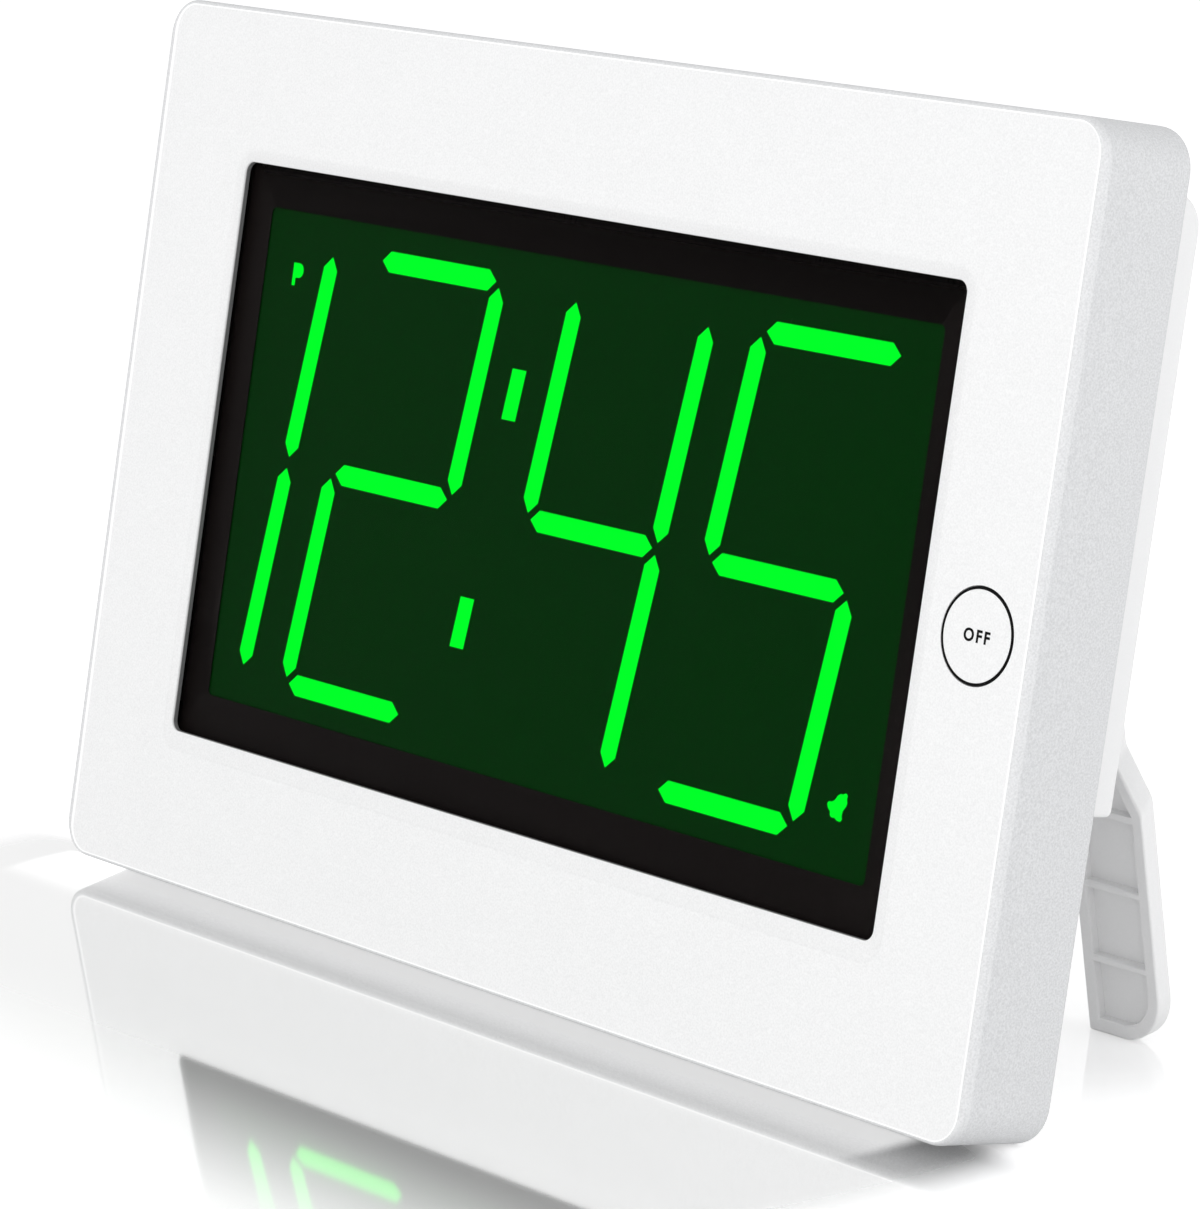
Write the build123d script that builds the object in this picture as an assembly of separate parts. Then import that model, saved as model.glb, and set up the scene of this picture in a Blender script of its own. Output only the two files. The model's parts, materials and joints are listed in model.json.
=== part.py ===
# Alarm clock with a lit segment display, for a desk or a wall: a moulded front shell, a rear cover with a
# raised housing, the display stack and boards between them, push buttons, switches and a swing-out stand.
from build123d import *

import os
from math import atan2, cos, degrees, hypot, radians, sin, tan

# Driving dimensions, in millimetres and degrees. The clock is drawn upright, with X to the right, Y from
# the front face to the back and Z up, and zero in the middle of the front face.

# Front shell
CASE_WIDTH = 240.0
CASE_HEIGHT = 160.7
CASE_DEPTH = 19.2
CASE_CORNER = 7.3
CASE_WALL = 2.2
FRONT_CHAMFER = 1.4
BACK_CHAMFER = 0.6

# Display window and the lens behind it
FACE_LEFT = 29.15
FACE_RIGHT = 25.45
FACE_TOP = 27.85
FACE_BOTTOM = 28.15
WINDOW_CORNER = 2.0
LIP_WIDTH = 2.3
LIP_DEPTH = 0.25
LENS_SETBACK = 1.15
LENS_THICKNESS = 1.2
LENS_LEDGE = 3.0
LENS_GAP = 0.1
PRINT_THICKNESS = 0.1

# Display stack
BORDER_LEFT = 6.45
BORDER_RIGHT = 5.55
BORDER_TOP = 7.45
BORDER_BOTTOM = 7.75
VIEW_CORNER = 1.0
LCD_SIDE_MARGIN = 5.0
LCD_END_MARGIN = 5.75
LCD_THICKNESS = 2.8
SEGMENT_DEPTH = 0.15
GUIDE_MARGIN = 1.3
GUIDE_THICKNESS = 3.0
FILM_THICKNESS = 0.2
STACK_GAP = 0.2
HOLDER_RIM = 3.0
HOLDER_LEDGE = 3.0
HOLDER_BACK_WALL = 2.0
HOLDER_EAR_SIZE = 8.0
HOLDER_EAR_WALL = 2.5
HOLDER_EAR_INSET = 13.5
RUBBER_STRIP_INSET = 11.7
RUBBER_STRIP_WIDTH = 2.2
LED_COUNT = 8
LED_SIZE = 2.6
LED_END_ROOM = 8.5
LED_DEPTH = 2.6
LED_BOARD_THICKNESS = 1.0

# Lit digits
DIGIT_HEIGHT_SHARE = 0.866
DIGIT_WIDTH_SHARE = 0.1926
DIGIT_SLANT = 7.53
SEGMENT_WIDTH = 3.72
SEGMENT_GAP = 1.1
SEGMENT_TIP = 2.1
LEADING_ONE_SHARE = -0.5156
HOUR_SHARE = -0.2488
MINUTE_TENS_SHARE = 0.062
MINUTE_UNITS_SHARE = 0.3284
COLON_SHARE = -0.0943
COLON_RISE_SHARE = 0.2257
COLON_HEIGHT = 8.9
COLON_WIDTH = 3.5

# Boards and what stands on them
BOARD_THICKNESS = 1.6
BOARD_EDGE = 1.0
PART_ROOM = 2.4
CHIP_SIZE = 12.0
CHIP_HEIGHT = 1.6
CRYSTAL_RADIUS = 1.0
CRYSTAL_LENGTH = 6.0
CRYSTAL_SPACING = 12.0
TACT_SIZE = 6.0
TACT_HEIGHT = 2.0
PLUNGER_SIZE = 3.4
PLUNGER_HEIGHT = 1.1

# Front stop button
STOP_INSET = 12.3
STOP_Z = -1.15
STOP_RADIUS = 7.7
STOP_RING_WIDTH = 0.4
STOP_RING_DEPTH = 0.5
STOP_FLANGE = 1.1
STOP_FLANGE_THICKNESS = 1.2
STOP_STEM_SIZE = 4.0
STOP_STEM_LENGTH = 2.4
STOP_COLLAR_WALL = 1.2
STOP_COLLAR_HEIGHT = 3.0
STOP_BOARD_WIDTH = 14.0
STOP_BOARD_HEIGHT = 34.0
STOP_PEG_SPACING = 27.0

# Buttons share these
BUTTON_TRAVEL = 0.8
BUTTON_GAP = 0.15
PLUNGER_GAP = 0.1
RUN_GAP = 0.05

# Rear cover and its raised housing
COVER_WALL = 2.0
COVER_GAP = 0.15
HOUSING_INSET = 10.0
HOUSING_ABOVE_HINGE = 25.5
HOUSING_WALL = 2.0
HOUSING_TOP_ROUND = 6.0
HOUSING_BACK_ROUND = 1.2
HOUSING_SIDE_CHAMFER = 0.4

# Screws that hold the halves and the display holder, and flattened pegs that hold the boards
SMALL_SIDES = 16  # flats of small or hidden round features, which keep the facets few
SCREW_RADIUS = 1.3
SCREW_HEAD_RADIUS = 2.4
SCREW_HEAD_HEIGHT = 1.6
SCREW_GRIP = 8.0
SCREW_HOLE_GAP = 0.2
THREAD_GAP = 0.03
CASE_SCREW_INSET = 7.0
SCREW_WELL_GAP = 0.4
SCREW_WELL_DEPTH = 3.0
SCREW_WELL_WALL = 1.2
POST_SIZE = 6.0
PEG_SIZE = 2.4
PEG_SHOULDER_SIZE = 4.4
PEG_HEAD_HEIGHT = 0.7
PEG_INSET = 2.4
PEG_GAP = 0.1

# Battery bay, cells, contacts and door
CELL_DIAMETER = 14.5
CELL_LENGTH = 49.3
CELL_COUNT = 3
CELL_SPACING = 0.7
CELL_ROOM = 0.7
NUB_RADIUS = 2.75
NUB_LENGTH = 1.2
CONTACT_ROOM = 2.6
CONTACT_THICKNESS = 0.4
CONTACT_WIDTH = 9.0
CONTACT_HEIGHT = 10.0
BAY_WALL = 2.0
BAY_SPARE = 2.7
DOOR_THICKNESS = 2.4
DOOR_LEDGE = 2.5
DOOR_GAP = 0.25
DOOR_CORNER = 2.5
DOOR_RIB_THICKNESS = 1.0
DOOR_RIB_DEPTH = 2.4
DOOR_GRIP_COUNT = 4
DOOR_GRIP_WIDTH = 16.0
DOOR_GRIP_THICKNESS = 1.2
DOOR_GRIP_PITCH = 2.6
DOOR_GRIP_DEPTH = 0.7
DOOR_GRIP_DROP = 13.0

# Rear keys and slide switches on their own small board
KEY_RADIUS = 3.2
KEY_PROUD = 1.0
KEY_CHAMFER = 0.5
KEY_FLANGE = 0.8
KEY_FLANGE_THICKNESS = 1.2
KEY_STEM_SIZE = 3.0
KEY_STEM_LENGTH = 0.8
KEY_SPREAD = 0.37
KEY_ROW_PITCH = 12.0
KEY_BOARD_HEIGHT = 53.0
KEY_BOARD_SIDE_GAP = 1.2
SWITCH_TRAVEL = 4.0
SWITCH_GRIP_WIDTH = 4.0
SWITCH_GRIP_HEIGHT = 4.4
SWITCH_PROUD = 1.0
SWITCH_RIDGE_PITCH = 1.3
SWITCH_RIDGE_WIDTH = 0.5
SWITCH_RIDGE_DEPTH = 0.4
SWITCH_FLANGE = 1.4
SWITCH_FLANGE_THICKNESS = 1.2
SWITCH_BODY_WIDTH = 9.0
SWITCH_BODY_HEIGHT = 4.6

# Buzzer behind its slots
BUZZER_RADIUS = 11.0
BUZZER_HEIGHT = 5.5
BUZZER_RING_WALL = 1.4
BUZZER_RING_HEIGHT = 3.0
SLOT_COUNT = 5
SLOT_WIDTH = 1.6
SLOT_PITCH = 3.4
SLOT_LENGTH = 15.0

# Keyhole for a screw head on a wall
KEYHOLE_RADIUS = 4.25
KEYHOLE_NECK = 2.2
KEYHOLE_RISE = 4.5
KEYHOLE_ABOVE_STAND = 7.5

# Swing-out stand
STAND_ANGLE = 19.5
STAND_LENGTH = 122.0
STAND_THICKNESS = 3.3
STAND_RECESS = 0.6
STAND_INSET = 14.5
STAND_LEG_WIDTH = 16.8
STAND_NECK_STEP = 4.95
STAND_FOOT_ROUND = 9.2
STAND_BEND_ROUND = 3.0
SHOULDER_HEIGHT = 41.7
SHOULDER_SLOPE = 30.3
SHOULDER_RAKE = 2.55
STAND_RIM = 2.5
STAND_POCKET = 1.6
STAND_RIB = 1.3
STAND_RIB_PITCH = 13.5
CROSSBAR_DROP = 12.0
CROSSBAR_RIB_PITCH = 14.0
HEEL_RISE = 5.0
HEEL_GAP = 0.05
HINGE_DROP = 35.35
HINGE_SOLID = 3.0
CHANNEL_GAP = 0.5
CHANNEL_FLOOR_GAP = 0.7
PIN_RADIUS = 1.0
PIN_GRIP = 8.0
PIN_END_GAP = 0.2

# Depths of the stack from front to back
LENS_BACK = LENS_SETBACK + LENS_THICKNESS
FRONT_WALL = LENS_BACK + PRINT_THICKNESS
LCD_FRONT = FRONT_WALL + SEGMENT_DEPTH
LCD_BACK = LCD_FRONT + LCD_THICKNESS
GUIDE_BACK = LCD_BACK + GUIDE_THICKNESS
FILM_BACK = GUIDE_BACK + FILM_THICKNESS
HOLDER_BACK = FILM_BACK + HOLDER_BACK_WALL
BOARD_BACK = HOLDER_BACK + BOARD_THICKNESS
BAY_FRONT = BOARD_BACK + PART_ROOM
BAY_FLOOR = BAY_FRONT + BAY_WALL
BAY_MOUTH = BAY_FLOOR + CELL_DIAMETER + CELL_ROOM
HOUSING_BACK = BAY_MOUTH + DOOR_THICKNESS
HOUSING_INNER = HOUSING_BACK - HOUSING_WALL
COVER_FRONT = CASE_DEPTH - COVER_WALL
STAND_BACK = HOUSING_BACK - STAND_RECESS
STAND_FRONT = STAND_BACK - STAND_THICKNESS
CHANNEL_FLOOR = STAND_FRONT - CHANNEL_FLOOR_GAP

# Window in the face, and the lit area in the window
WINDOW_WIDTH = CASE_WIDTH - FACE_LEFT - FACE_RIGHT
WINDOW_HEIGHT = CASE_HEIGHT - FACE_TOP - FACE_BOTTOM
WINDOW_X = (FACE_LEFT - FACE_RIGHT) / 2
WINDOW_Z = (FACE_BOTTOM - FACE_TOP) / 2
VIEW_WIDTH = WINDOW_WIDTH - BORDER_LEFT - BORDER_RIGHT
VIEW_HEIGHT = WINDOW_HEIGHT - BORDER_TOP - BORDER_BOTTOM
VIEW_X = WINDOW_X + (BORDER_LEFT - BORDER_RIGHT) / 2
VIEW_Z = WINDOW_Z + (BORDER_BOTTOM - BORDER_TOP) / 2
DIGIT_HEIGHT = VIEW_HEIGHT * DIGIT_HEIGHT_SHARE
DIGIT_WIDTH = VIEW_WIDTH * DIGIT_WIDTH_SHARE
STOP_X = CASE_WIDTH / 2 - STOP_INSET

# Outlines that several pieces share
LENS_WIDTH = WINDOW_WIDTH + 2 * LENS_LEDGE
LENS_HEIGHT = WINDOW_HEIGHT + 2 * LENS_LEDGE
LCD_WIDTH = VIEW_WIDTH + 2 * LCD_SIDE_MARGIN
LCD_HEIGHT = VIEW_HEIGHT + 2 * LCD_END_MARGIN
GUIDE_WIDTH = VIEW_WIDTH + 2 * GUIDE_MARGIN
GUIDE_HEIGHT = VIEW_HEIGHT + 2 * GUIDE_MARGIN
HOLDER_WIDTH = LCD_WIDTH + 2 * HOLDER_RIM
HOLDER_HEIGHT = LCD_HEIGHT + 2 * HOLDER_RIM
BOARD_WIDTH = HOLDER_WIDTH - 2 * BOARD_EDGE
BOARD_HEIGHT = HOLDER_HEIGHT - 2 * BOARD_EDGE
BOARD_PEG_X = GUIDE_WIDTH / 2 - PEG_SHOULDER_SIZE
BOARD_PEG_Z = (GUIDE_HEIGHT + HOLDER_HEIGHT) / 4
HOLDER_EAR_Z = HOLDER_HEIGHT / 2 - HOLDER_EAR_INSET
RUBBER_STRIP_LENGTH = VIEW_WIDTH - 2 * RUBBER_STRIP_INSET
STRIP_Z = VIEW_Z - (GUIDE_HEIGHT + LCD_HEIGHT) / 4
LED_PITCH = (VIEW_HEIGHT - 2 * LED_END_ROOM) / (LED_COUNT - 1)
CHIP_X = VIEW_X + VIEW_WIDTH / 4
CHIP_Z = VIEW_Z
CELL_PITCH = CELL_DIAMETER + CELL_SPACING
BAY_LENGTH = CELL_LENGTH + NUB_LENGTH + 2 * CONTACT_ROOM
BAY_HEIGHT = CELL_COUNT * CELL_PITCH
DOOR_WIDTH = BAY_LENGTH + 2 * DOOR_LEDGE
DOOR_HEIGHT = BAY_HEIGHT + 2 * DOOR_LEDGE
BAY_SIDE = BAY_LENGTH / 2 + DOOR_LEDGE + BAY_WALL
BAY_END = BAY_HEIGHT / 2 + DOOR_LEDGE + BAY_WALL

# Housing: the hinge hangs from the top of the case, and the bay fits between the crossbar and the bottom
HINGE_Z = CASE_HEIGHT / 2 - HINGE_DROP
CROSSBAR_Z = HINGE_Z - CROSSBAR_DROP
BAY_Z = CROSSBAR_Z - CHANNEL_GAP - HOUSING_WALL - BAY_SPARE / 2 - BAY_END
HOUSING_WIDTH = CASE_WIDTH - 2 * HOUSING_INSET
HOUSING_TOP = HINGE_Z + HOUSING_ABOVE_HINGE
HOUSING_BOTTOM = BAY_Z - BAY_END - BAY_SPARE / 2 - HOUSING_WALL
HOUSING_HEIGHT = HOUSING_TOP - HOUSING_BOTTOM
HOUSING_Z = (HOUSING_TOP + HOUSING_BOTTOM) / 2
STAND_OUTER = HOUSING_WIDTH / 2 - STAND_INSET
STAND_INNER = STAND_OUTER - STAND_LEG_WIDTH
STAND_NECK = STAND_OUTER - STAND_NECK_STEP

# Keys and buzzer stand between the bay and the legs of the stand
SIDE_ROOM = STAND_INNER - CHANNEL_GAP - HOUSING_WALL - BAY_SIDE
KEY_X = BAY_SIDE + SIDE_ROOM / 2
KEY_Z = BAY_Z
KEY_COLUMN_PITCH = SIDE_ROOM * KEY_SPREAD
KEY_BOARD_WIDTH = SIDE_ROOM - 2 * KEY_BOARD_SIDE_GAP
BUZZER_X = -KEY_X
BUZZER_Z = BAY_Z
KEY_BOARD_BACK = HOUSING_INNER - KEY_FLANGE_THICKNESS - KEY_STEM_LENGTH - BUTTON_TRAVEL - PLUNGER_GAP
KEY_BOARD_BACK -= TACT_HEIGHT + PLUNGER_HEIGHT + RUN_GAP
KEY_BOARD_FRONT = KEY_BOARD_BACK - BOARD_THICKNESS
SWITCH_SLOT_WIDTH = SWITCH_GRIP_WIDTH + SWITCH_TRAVEL + 2 * BUTTON_GAP
SWITCH_BODY_BACK = HOUSING_INNER - SWITCH_FLANGE_THICKNESS - 2 * RUN_GAP
STOP_STEM_END = FRONT_WALL + RUN_GAP + STOP_FLANGE_THICKNESS + STOP_STEM_LENGTH
STOP_BOARD_FRONT = STOP_STEM_END + BUTTON_TRAVEL + PLUNGER_GAP + PLUNGER_HEIGHT + TACT_HEIGHT
STOP_BOARD_BACK = STOP_BOARD_FRONT + BOARD_THICKNESS

# Hinge line of the stand, and the stand's outline while it is folded flat
HINGE_Y = (STAND_FRONT + STAND_BACK) / 2
FOOT_Z = HINGE_Z - STAND_LENGTH
HEEL_Z = HINGE_Z + HEEL_RISE
CHANNEL_SIDE = STAND_NECK + CHANNEL_GAP
KEYHOLE_Z = HEEL_Z + KEYHOLE_ABOVE_STAND

# Lean of the case: the line that touches the open stand's feet and the lower back edge
FOOT_REACH_Y = STAND_LENGTH * sin(radians(STAND_ANGLE)) - STAND_THICKNESS / 2 * cos(radians(STAND_ANGLE))
FOOT_REACH_Z = STAND_LENGTH * cos(radians(STAND_ANGLE)) + STAND_THICKNESS / 2 * sin(radians(STAND_ANGLE))
FOOT_RUN = HINGE_Y + FOOT_REACH_Y - (CASE_DEPTH - BACK_CHAMFER)
FOOT_LIFT = HINGE_Z - FOOT_REACH_Z + CASE_HEIGHT / 2
LEAN = degrees(atan2(FOOT_LIFT, FOOT_RUN))


def facing(y, x=0.0, z=0.0):
    """Plane of the front view at depth y, with its origin over (x, z)."""
    return Plane(origin=(x, y, z), x_dir=(1, 0, 0), z_dir=(0, -1, 0))


def slab(outline, front, back, x=0.0, z=0.0):
    """Front-view outline made solid from depth front to depth back."""
    return extrude(facing(front, x, z) * outline, amount=back - front, dir=(0, 1, 0))


def plate(width, height, corner, front, back, x=0.0, z=0.0):
    """Flat plate with rounded corners."""
    return slab(RectangleRounded(width, height, corner), front, back, x, z)


def block(width, height, front, back, x=0.0, z=0.0):
    """Flat plate with sharp corners."""
    return slab(Rectangle(width, height), front, back, x, z)


def section(radius, sides):
    """Circle, or a polygon in that circle where sides are given."""
    return RegularPolygon(radius, sides) if sides else Circle(radius)


def rod(radius, front, back, x=0.0, z=0.0, sides=0):
    """Bar along the depth, round or with flat sides."""
    return slab(section(radius, sides), front, back, x, z)


def axle(radius, start, end, y, z, sides=0):
    """Bar along the width, round or with flat sides."""
    return Plane(origin=(start, y, z), z_dir=(1, 0, 0)) * extrude(section(radius, sides), amount=end - start)


def collar(bore, wall, front, back, x, z):
    """Ring with flat sides along the depth, which a round piece of radius bore fits in."""
    reach = bore / cos(radians(180 / SMALL_SIDES))
    return rod(reach + wall, front, back, x, z, SMALL_SIDES) - rod(reach, front, back, x, z, SMALL_SIDES)


def corners(width, height, x=0.0, z=0.0):
    """Corner points of a rectangle round (x, z)."""
    return [(x + i * width / 2, z + k * height / 2) for i in (-1, 1) for k in (-1, 1)]


def edges_at(solid, depth):
    """Edges that lie in the front-view plane at that depth."""
    flat = solid.edges().filter_by(lambda e: e.bounding_box().size.Y < BUTTON_GAP)
    return flat.filter_by(lambda e: abs(e.center().Y - depth) < RUN_GAP)


def outline_corners(sketch, x, z):
    """Vertices of a sketch at (x, z) and at its mirror point."""
    near = BUTTON_GAP
    return sketch.vertices().filter_by(lambda v: abs(abs(v.X) - x) < near and abs(v.Y - z) < near)


def peg(foot, board_near, board_far, x, z):
    """Square shouldered peg from depth foot through a board, flattened over the board's far side."""
    ahead = 1 if board_far > foot else -1
    tip = board_far + ahead * PEG_HEAD_HEIGHT
    wide, slim = PEG_SHOULDER_SIZE, PEG_SIZE
    shoulder = block(wide, wide, min(foot, board_near), max(foot, board_near), x, z)
    neck = block(slim, slim, min(board_near, board_far), max(board_near, board_far), x, z)
    return shoulder + neck + block(wide, wide, min(board_far, tip), max(board_far, tip), x, z)


def pegged(board, front, back, places):
    """Board with a square hole for each peg."""
    hole = PEG_SIZE + 2 * PEG_GAP
    for x, z in places:
        board -= block(hole, hole, front, back, x, z)
    return board


def pan_screw(seat, tip, x, z):
    """Pan head screw whose head stands behind the depth seat and whose shank ends at tip."""
    ahead = 1 if seat > tip else -1
    top = seat + ahead * SCREW_HEAD_HEIGHT
    head = rod(SCREW_HEAD_RADIUS, min(seat, top), max(seat, top), x, z, SMALL_SIDES)
    return head + rod(SCREW_RADIUS, min(seat, tip), max(seat, tip), x, z, SMALL_SIDES)


# Fixing points
CASE_SCREWS = corners(CASE_WIDTH - 2 * CASE_SCREW_INSET, CASE_HEIGHT - 2 * CASE_SCREW_INSET)
CASE_SCREW_SEAT = CASE_DEPTH - SCREW_WELL_DEPTH
CASE_POST_END = CASE_SCREW_SEAT - SCREW_WELL_WALL
EAR_SCREWS = corners(HOLDER_WIDTH + HOLDER_EAR_SIZE, 2 * HOLDER_EAR_Z, VIEW_X, VIEW_Z)
EAR_FRONT = HOLDER_BACK - HOLDER_EAR_WALL
BOARD_PEGS = corners(2 * BOARD_PEG_X, 2 * BOARD_PEG_Z, VIEW_X, VIEW_Z)
STOP_PEGS = [(STOP_X, STOP_Z + k * STOP_PEG_SPACING / 2) for k in (-1, 1)]
KEY_PEGS = corners(KEY_BOARD_WIDTH - 2 * PEG_INSET, KEY_BOARD_HEIGHT - 2 * PEG_INSET, KEY_X, KEY_Z)

# Places of the keys, the switches and the cells
KEY_COLUMNS = (KEY_X - KEY_COLUMN_PITCH / 2, KEY_X + KEY_COLUMN_PITCH / 2)
KEY_ROWS = [KEY_Z + (1.5 - i) * KEY_ROW_PITCH for i in range(4)]
KEY_PLACES = {
    "time_key": (KEY_COLUMNS[0], KEY_ROWS[0]),
    "alarm_key": (KEY_COLUMNS[1], KEY_ROWS[0]),
    "up_key": (KEY_COLUMNS[0], KEY_ROWS[1]),
    "down_key": (KEY_COLUMNS[1], KEY_ROWS[1]),
}
SWITCH_PLACES = {"alarm_switch_knob": (KEY_X, KEY_ROWS[2]), "light_switch_knob": (KEY_X, KEY_ROWS[3])}
CELL_ROWS = [BAY_Z + (i - (CELL_COUNT - 1) / 2) * CELL_PITCH for i in range(CELL_COUNT)]


def make_front_bezel():
    """Front shell: face with the window and button hole, side walls, and posts behind the face."""
    shell = plate(CASE_WIDTH, CASE_HEIGHT, CASE_CORNER, 0, CASE_DEPTH)
    shell = chamfer(edges_at(shell, 0), FRONT_CHAMFER)
    shell = chamfer(edges_at(shell, CASE_DEPTH), BACK_CHAMFER)
    shell -= plate(CASE_WIDTH - 2 * CASE_WALL, CASE_HEIGHT - 2 * CASE_WALL, CASE_CORNER - CASE_WALL,
                   FRONT_WALL, CASE_DEPTH)
    shell -= plate(WINDOW_WIDTH, WINDOW_HEIGHT, WINDOW_CORNER, 0, FRONT_WALL, WINDOW_X, WINDOW_Z)
    lip_mouth = RectangleRounded(WINDOW_WIDTH + 2 * LIP_WIDTH, WINDOW_HEIGHT + 2 * LIP_WIDTH,
                                 WINDOW_CORNER + LIP_WIDTH)
    lip_foot = RectangleRounded(WINDOW_WIDTH, WINDOW_HEIGHT, WINDOW_CORNER)
    lip_planes = [facing(y, WINDOW_X, WINDOW_Z) for y in (0, LIP_DEPTH)]
    shell -= loft([lip_planes[0] * lip_mouth, lip_planes[1] * lip_foot])
    shell -= plate(LENS_WIDTH + 2 * LENS_GAP, LENS_HEIGHT + 2 * LENS_GAP, WINDOW_CORNER + LENS_GAP,
                   LENS_SETBACK, FRONT_WALL, WINDOW_X, WINDOW_Z)
    shell -= rod(STOP_RADIUS + BUTTON_GAP, 0, FRONT_WALL, STOP_X, STOP_Z)
    shell += collar(STOP_RADIUS + STOP_FLANGE + BUTTON_GAP, STOP_COLLAR_WALL, FRONT_WALL,
                    FRONT_WALL + STOP_COLLAR_HEIGHT, STOP_X, STOP_Z)
    posts = [(x, z, CASE_POST_END) for x, z in CASE_SCREWS]
    posts += [(x, z, EAR_FRONT) for x, z in EAR_SCREWS]
    for x, z, end in posts:
        shell += block(POST_SIZE, POST_SIZE, FRONT_WALL, end, x, z)
        shell -= rod(SCREW_RADIUS + THREAD_GAP, max(FRONT_WALL, end - SCREW_GRIP), end, x, z, SMALL_SIDES)
    for x, z in STOP_PEGS:
        shell += peg(FRONT_WALL, STOP_BOARD_FRONT, STOP_BOARD_BACK, x, z)
    return shell


def make_display_lens():
    """Clear lens that sits in the rebate behind the window."""
    return plate(LENS_WIDTH, LENS_HEIGHT, WINDOW_CORNER, LENS_SETBACK, LENS_BACK, WINDOW_X, WINDOW_Z)


def make_lens_border():
    """Black print on the back of the lens, open over the lit area."""
    border = plate(LENS_WIDTH, LENS_HEIGHT, WINDOW_CORNER, LENS_BACK, FRONT_WALL, WINDOW_X, WINDOW_Z)
    return border - plate(VIEW_WIDTH, VIEW_HEIGHT, VIEW_CORNER, LENS_BACK, FRONT_WALL, VIEW_X, VIEW_Z)


def make_lcd_panel():
    """Glass sandwich of the display."""
    return block(LCD_WIDTH, LCD_HEIGHT, LCD_FRONT, LCD_BACK, VIEW_X, VIEW_Z)


def bar(start, end):
    """Pointed segment from start to end in the front view."""
    run, rise = end[0] - start[0], end[1] - start[1]
    length = hypot(run, rise)
    along = (run / length, rise / length)
    side = (-along[1], along[0])

    def at(distance, offset):
        x = start[0] + along[0] * distance + side[0] * offset
        return (x, start[1] + along[1] * distance + side[1] * offset)

    first, last, half = SEGMENT_GAP, length - SEGMENT_GAP, SEGMENT_WIDTH / 2
    return Polygon(at(first, 0), at(first + SEGMENT_TIP, -half), at(last - SEGMENT_TIP, -half), at(last, 0),
                   at(last - SEGMENT_TIP, half), at(first + SEGMENT_TIP, half), align=None)


def leaned(x, z):
    """Point of a digit after the slant of the figures, measured from the middle of the digit."""
    return (x + z * tan(radians(DIGIT_SLANT)), VIEW_Z + z)


SEGMENT_ENDS = {
    "a": ((-1, 1), (1, 1)),
    "b": ((1, 0), (1, 1)),
    "c": ((1, -1), (1, 0)),
    "d": ((-1, -1), (1, -1)),
    "e": ((-1, -1), (-1, 0)),
    "f": ((-1, 0), (-1, 1)),
    "g": ((-1, 0), (1, 0)),
}
LIT_SEGMENTS = {
    LEADING_ONE_SHARE: "bc",
    HOUR_SHARE: "abged",
    MINUTE_TENS_SHARE: "fgbc",
    MINUTE_UNITS_SHARE: "afgcd",
}


def make_lcd_digits():
    """Lit segments of the time and the two colon bars, thin solids on the front of the glass."""
    lit = []
    for share, letters in LIT_SEGMENTS.items():
        middle = VIEW_X + share * VIEW_WIDTH
        for letter in letters:
            corner_steps = SEGMENT_ENDS[letter]
            ends = [leaned(middle + i * DIGIT_WIDTH / 2, k * DIGIT_HEIGHT / 2) for i, k in corner_steps]
            lit.append(slab(bar(*ends), FRONT_WALL, LCD_FRONT))
    half = COLON_WIDTH / 2
    colon_x = VIEW_X + COLON_SHARE * VIEW_WIDTH
    for side in (-1, 1):
        rise = side * COLON_RISE_SHARE * VIEW_HEIGHT
        low, high = leaned(colon_x, rise - COLON_HEIGHT / 2), leaned(colon_x, rise + COLON_HEIGHT / 2)
        outline = Polygon((low[0] - half, low[1]), (low[0] + half, low[1]), (high[0] + half, high[1]),
                          (high[0] - half, high[1]), align=None)
        lit.append(slab(outline, FRONT_WALL, LCD_FRONT))
    return Compound(children=lit)


def make_lcd_holder():
    """Moulded frame with stepped pockets for the glass, the light guide and the film, and screw ears."""
    holder = block(HOLDER_WIDTH, HOLDER_HEIGHT, FRONT_WALL, HOLDER_BACK, VIEW_X, VIEW_Z)
    for x, z in EAR_SCREWS:
        holder += block(HOLDER_EAR_SIZE, HOLDER_EAR_SIZE, EAR_FRONT, HOLDER_BACK, x, z)
        holder -= rod(SCREW_RADIUS + SCREW_HOLE_GAP, EAR_FRONT, HOLDER_BACK, x, z, SMALL_SIDES)
    pocket_gap = 2 * STACK_GAP
    holder -= block(LCD_WIDTH + pocket_gap, LCD_HEIGHT + pocket_gap, FRONT_WALL, LCD_BACK, VIEW_X, VIEW_Z)
    holder -= block(GUIDE_WIDTH + pocket_gap, GUIDE_HEIGHT + pocket_gap, LCD_BACK, FILM_BACK, VIEW_X, VIEW_Z)
    holder -= block(GUIDE_WIDTH - 2 * HOLDER_LEDGE, GUIDE_HEIGHT - 2 * HOLDER_LEDGE, FILM_BACK, HOLDER_BACK,
                    VIEW_X, VIEW_Z)
    holder -= block(RUBBER_STRIP_LENGTH + pocket_gap, RUBBER_STRIP_WIDTH + pocket_gap, LCD_BACK, HOLDER_BACK,
                    VIEW_X, STRIP_Z)
    for x, z in BOARD_PEGS:
        holder += peg(HOLDER_BACK - HOLDER_BACK_WALL, HOLDER_BACK, BOARD_BACK, x, z)
    return holder


# The light guide gives up this much width on its left to the row of lamps
LAMP_ROOM = LED_DEPTH + LED_BOARD_THICKNESS + STACK_GAP
LAMP_LEFT = VIEW_X - GUIDE_WIDTH / 2


def make_light_guide():
    """Clear plate that spreads the light of the lamps at its left edge."""
    return block(GUIDE_WIDTH - LAMP_ROOM, GUIDE_HEIGHT, LCD_BACK, GUIDE_BACK, VIEW_X + LAMP_ROOM / 2, VIEW_Z)


def make_reflector_film():
    """White film behind the light guide."""
    return block(GUIDE_WIDTH, GUIDE_HEIGHT, GUIDE_BACK, FILM_BACK, VIEW_X, VIEW_Z)


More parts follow.
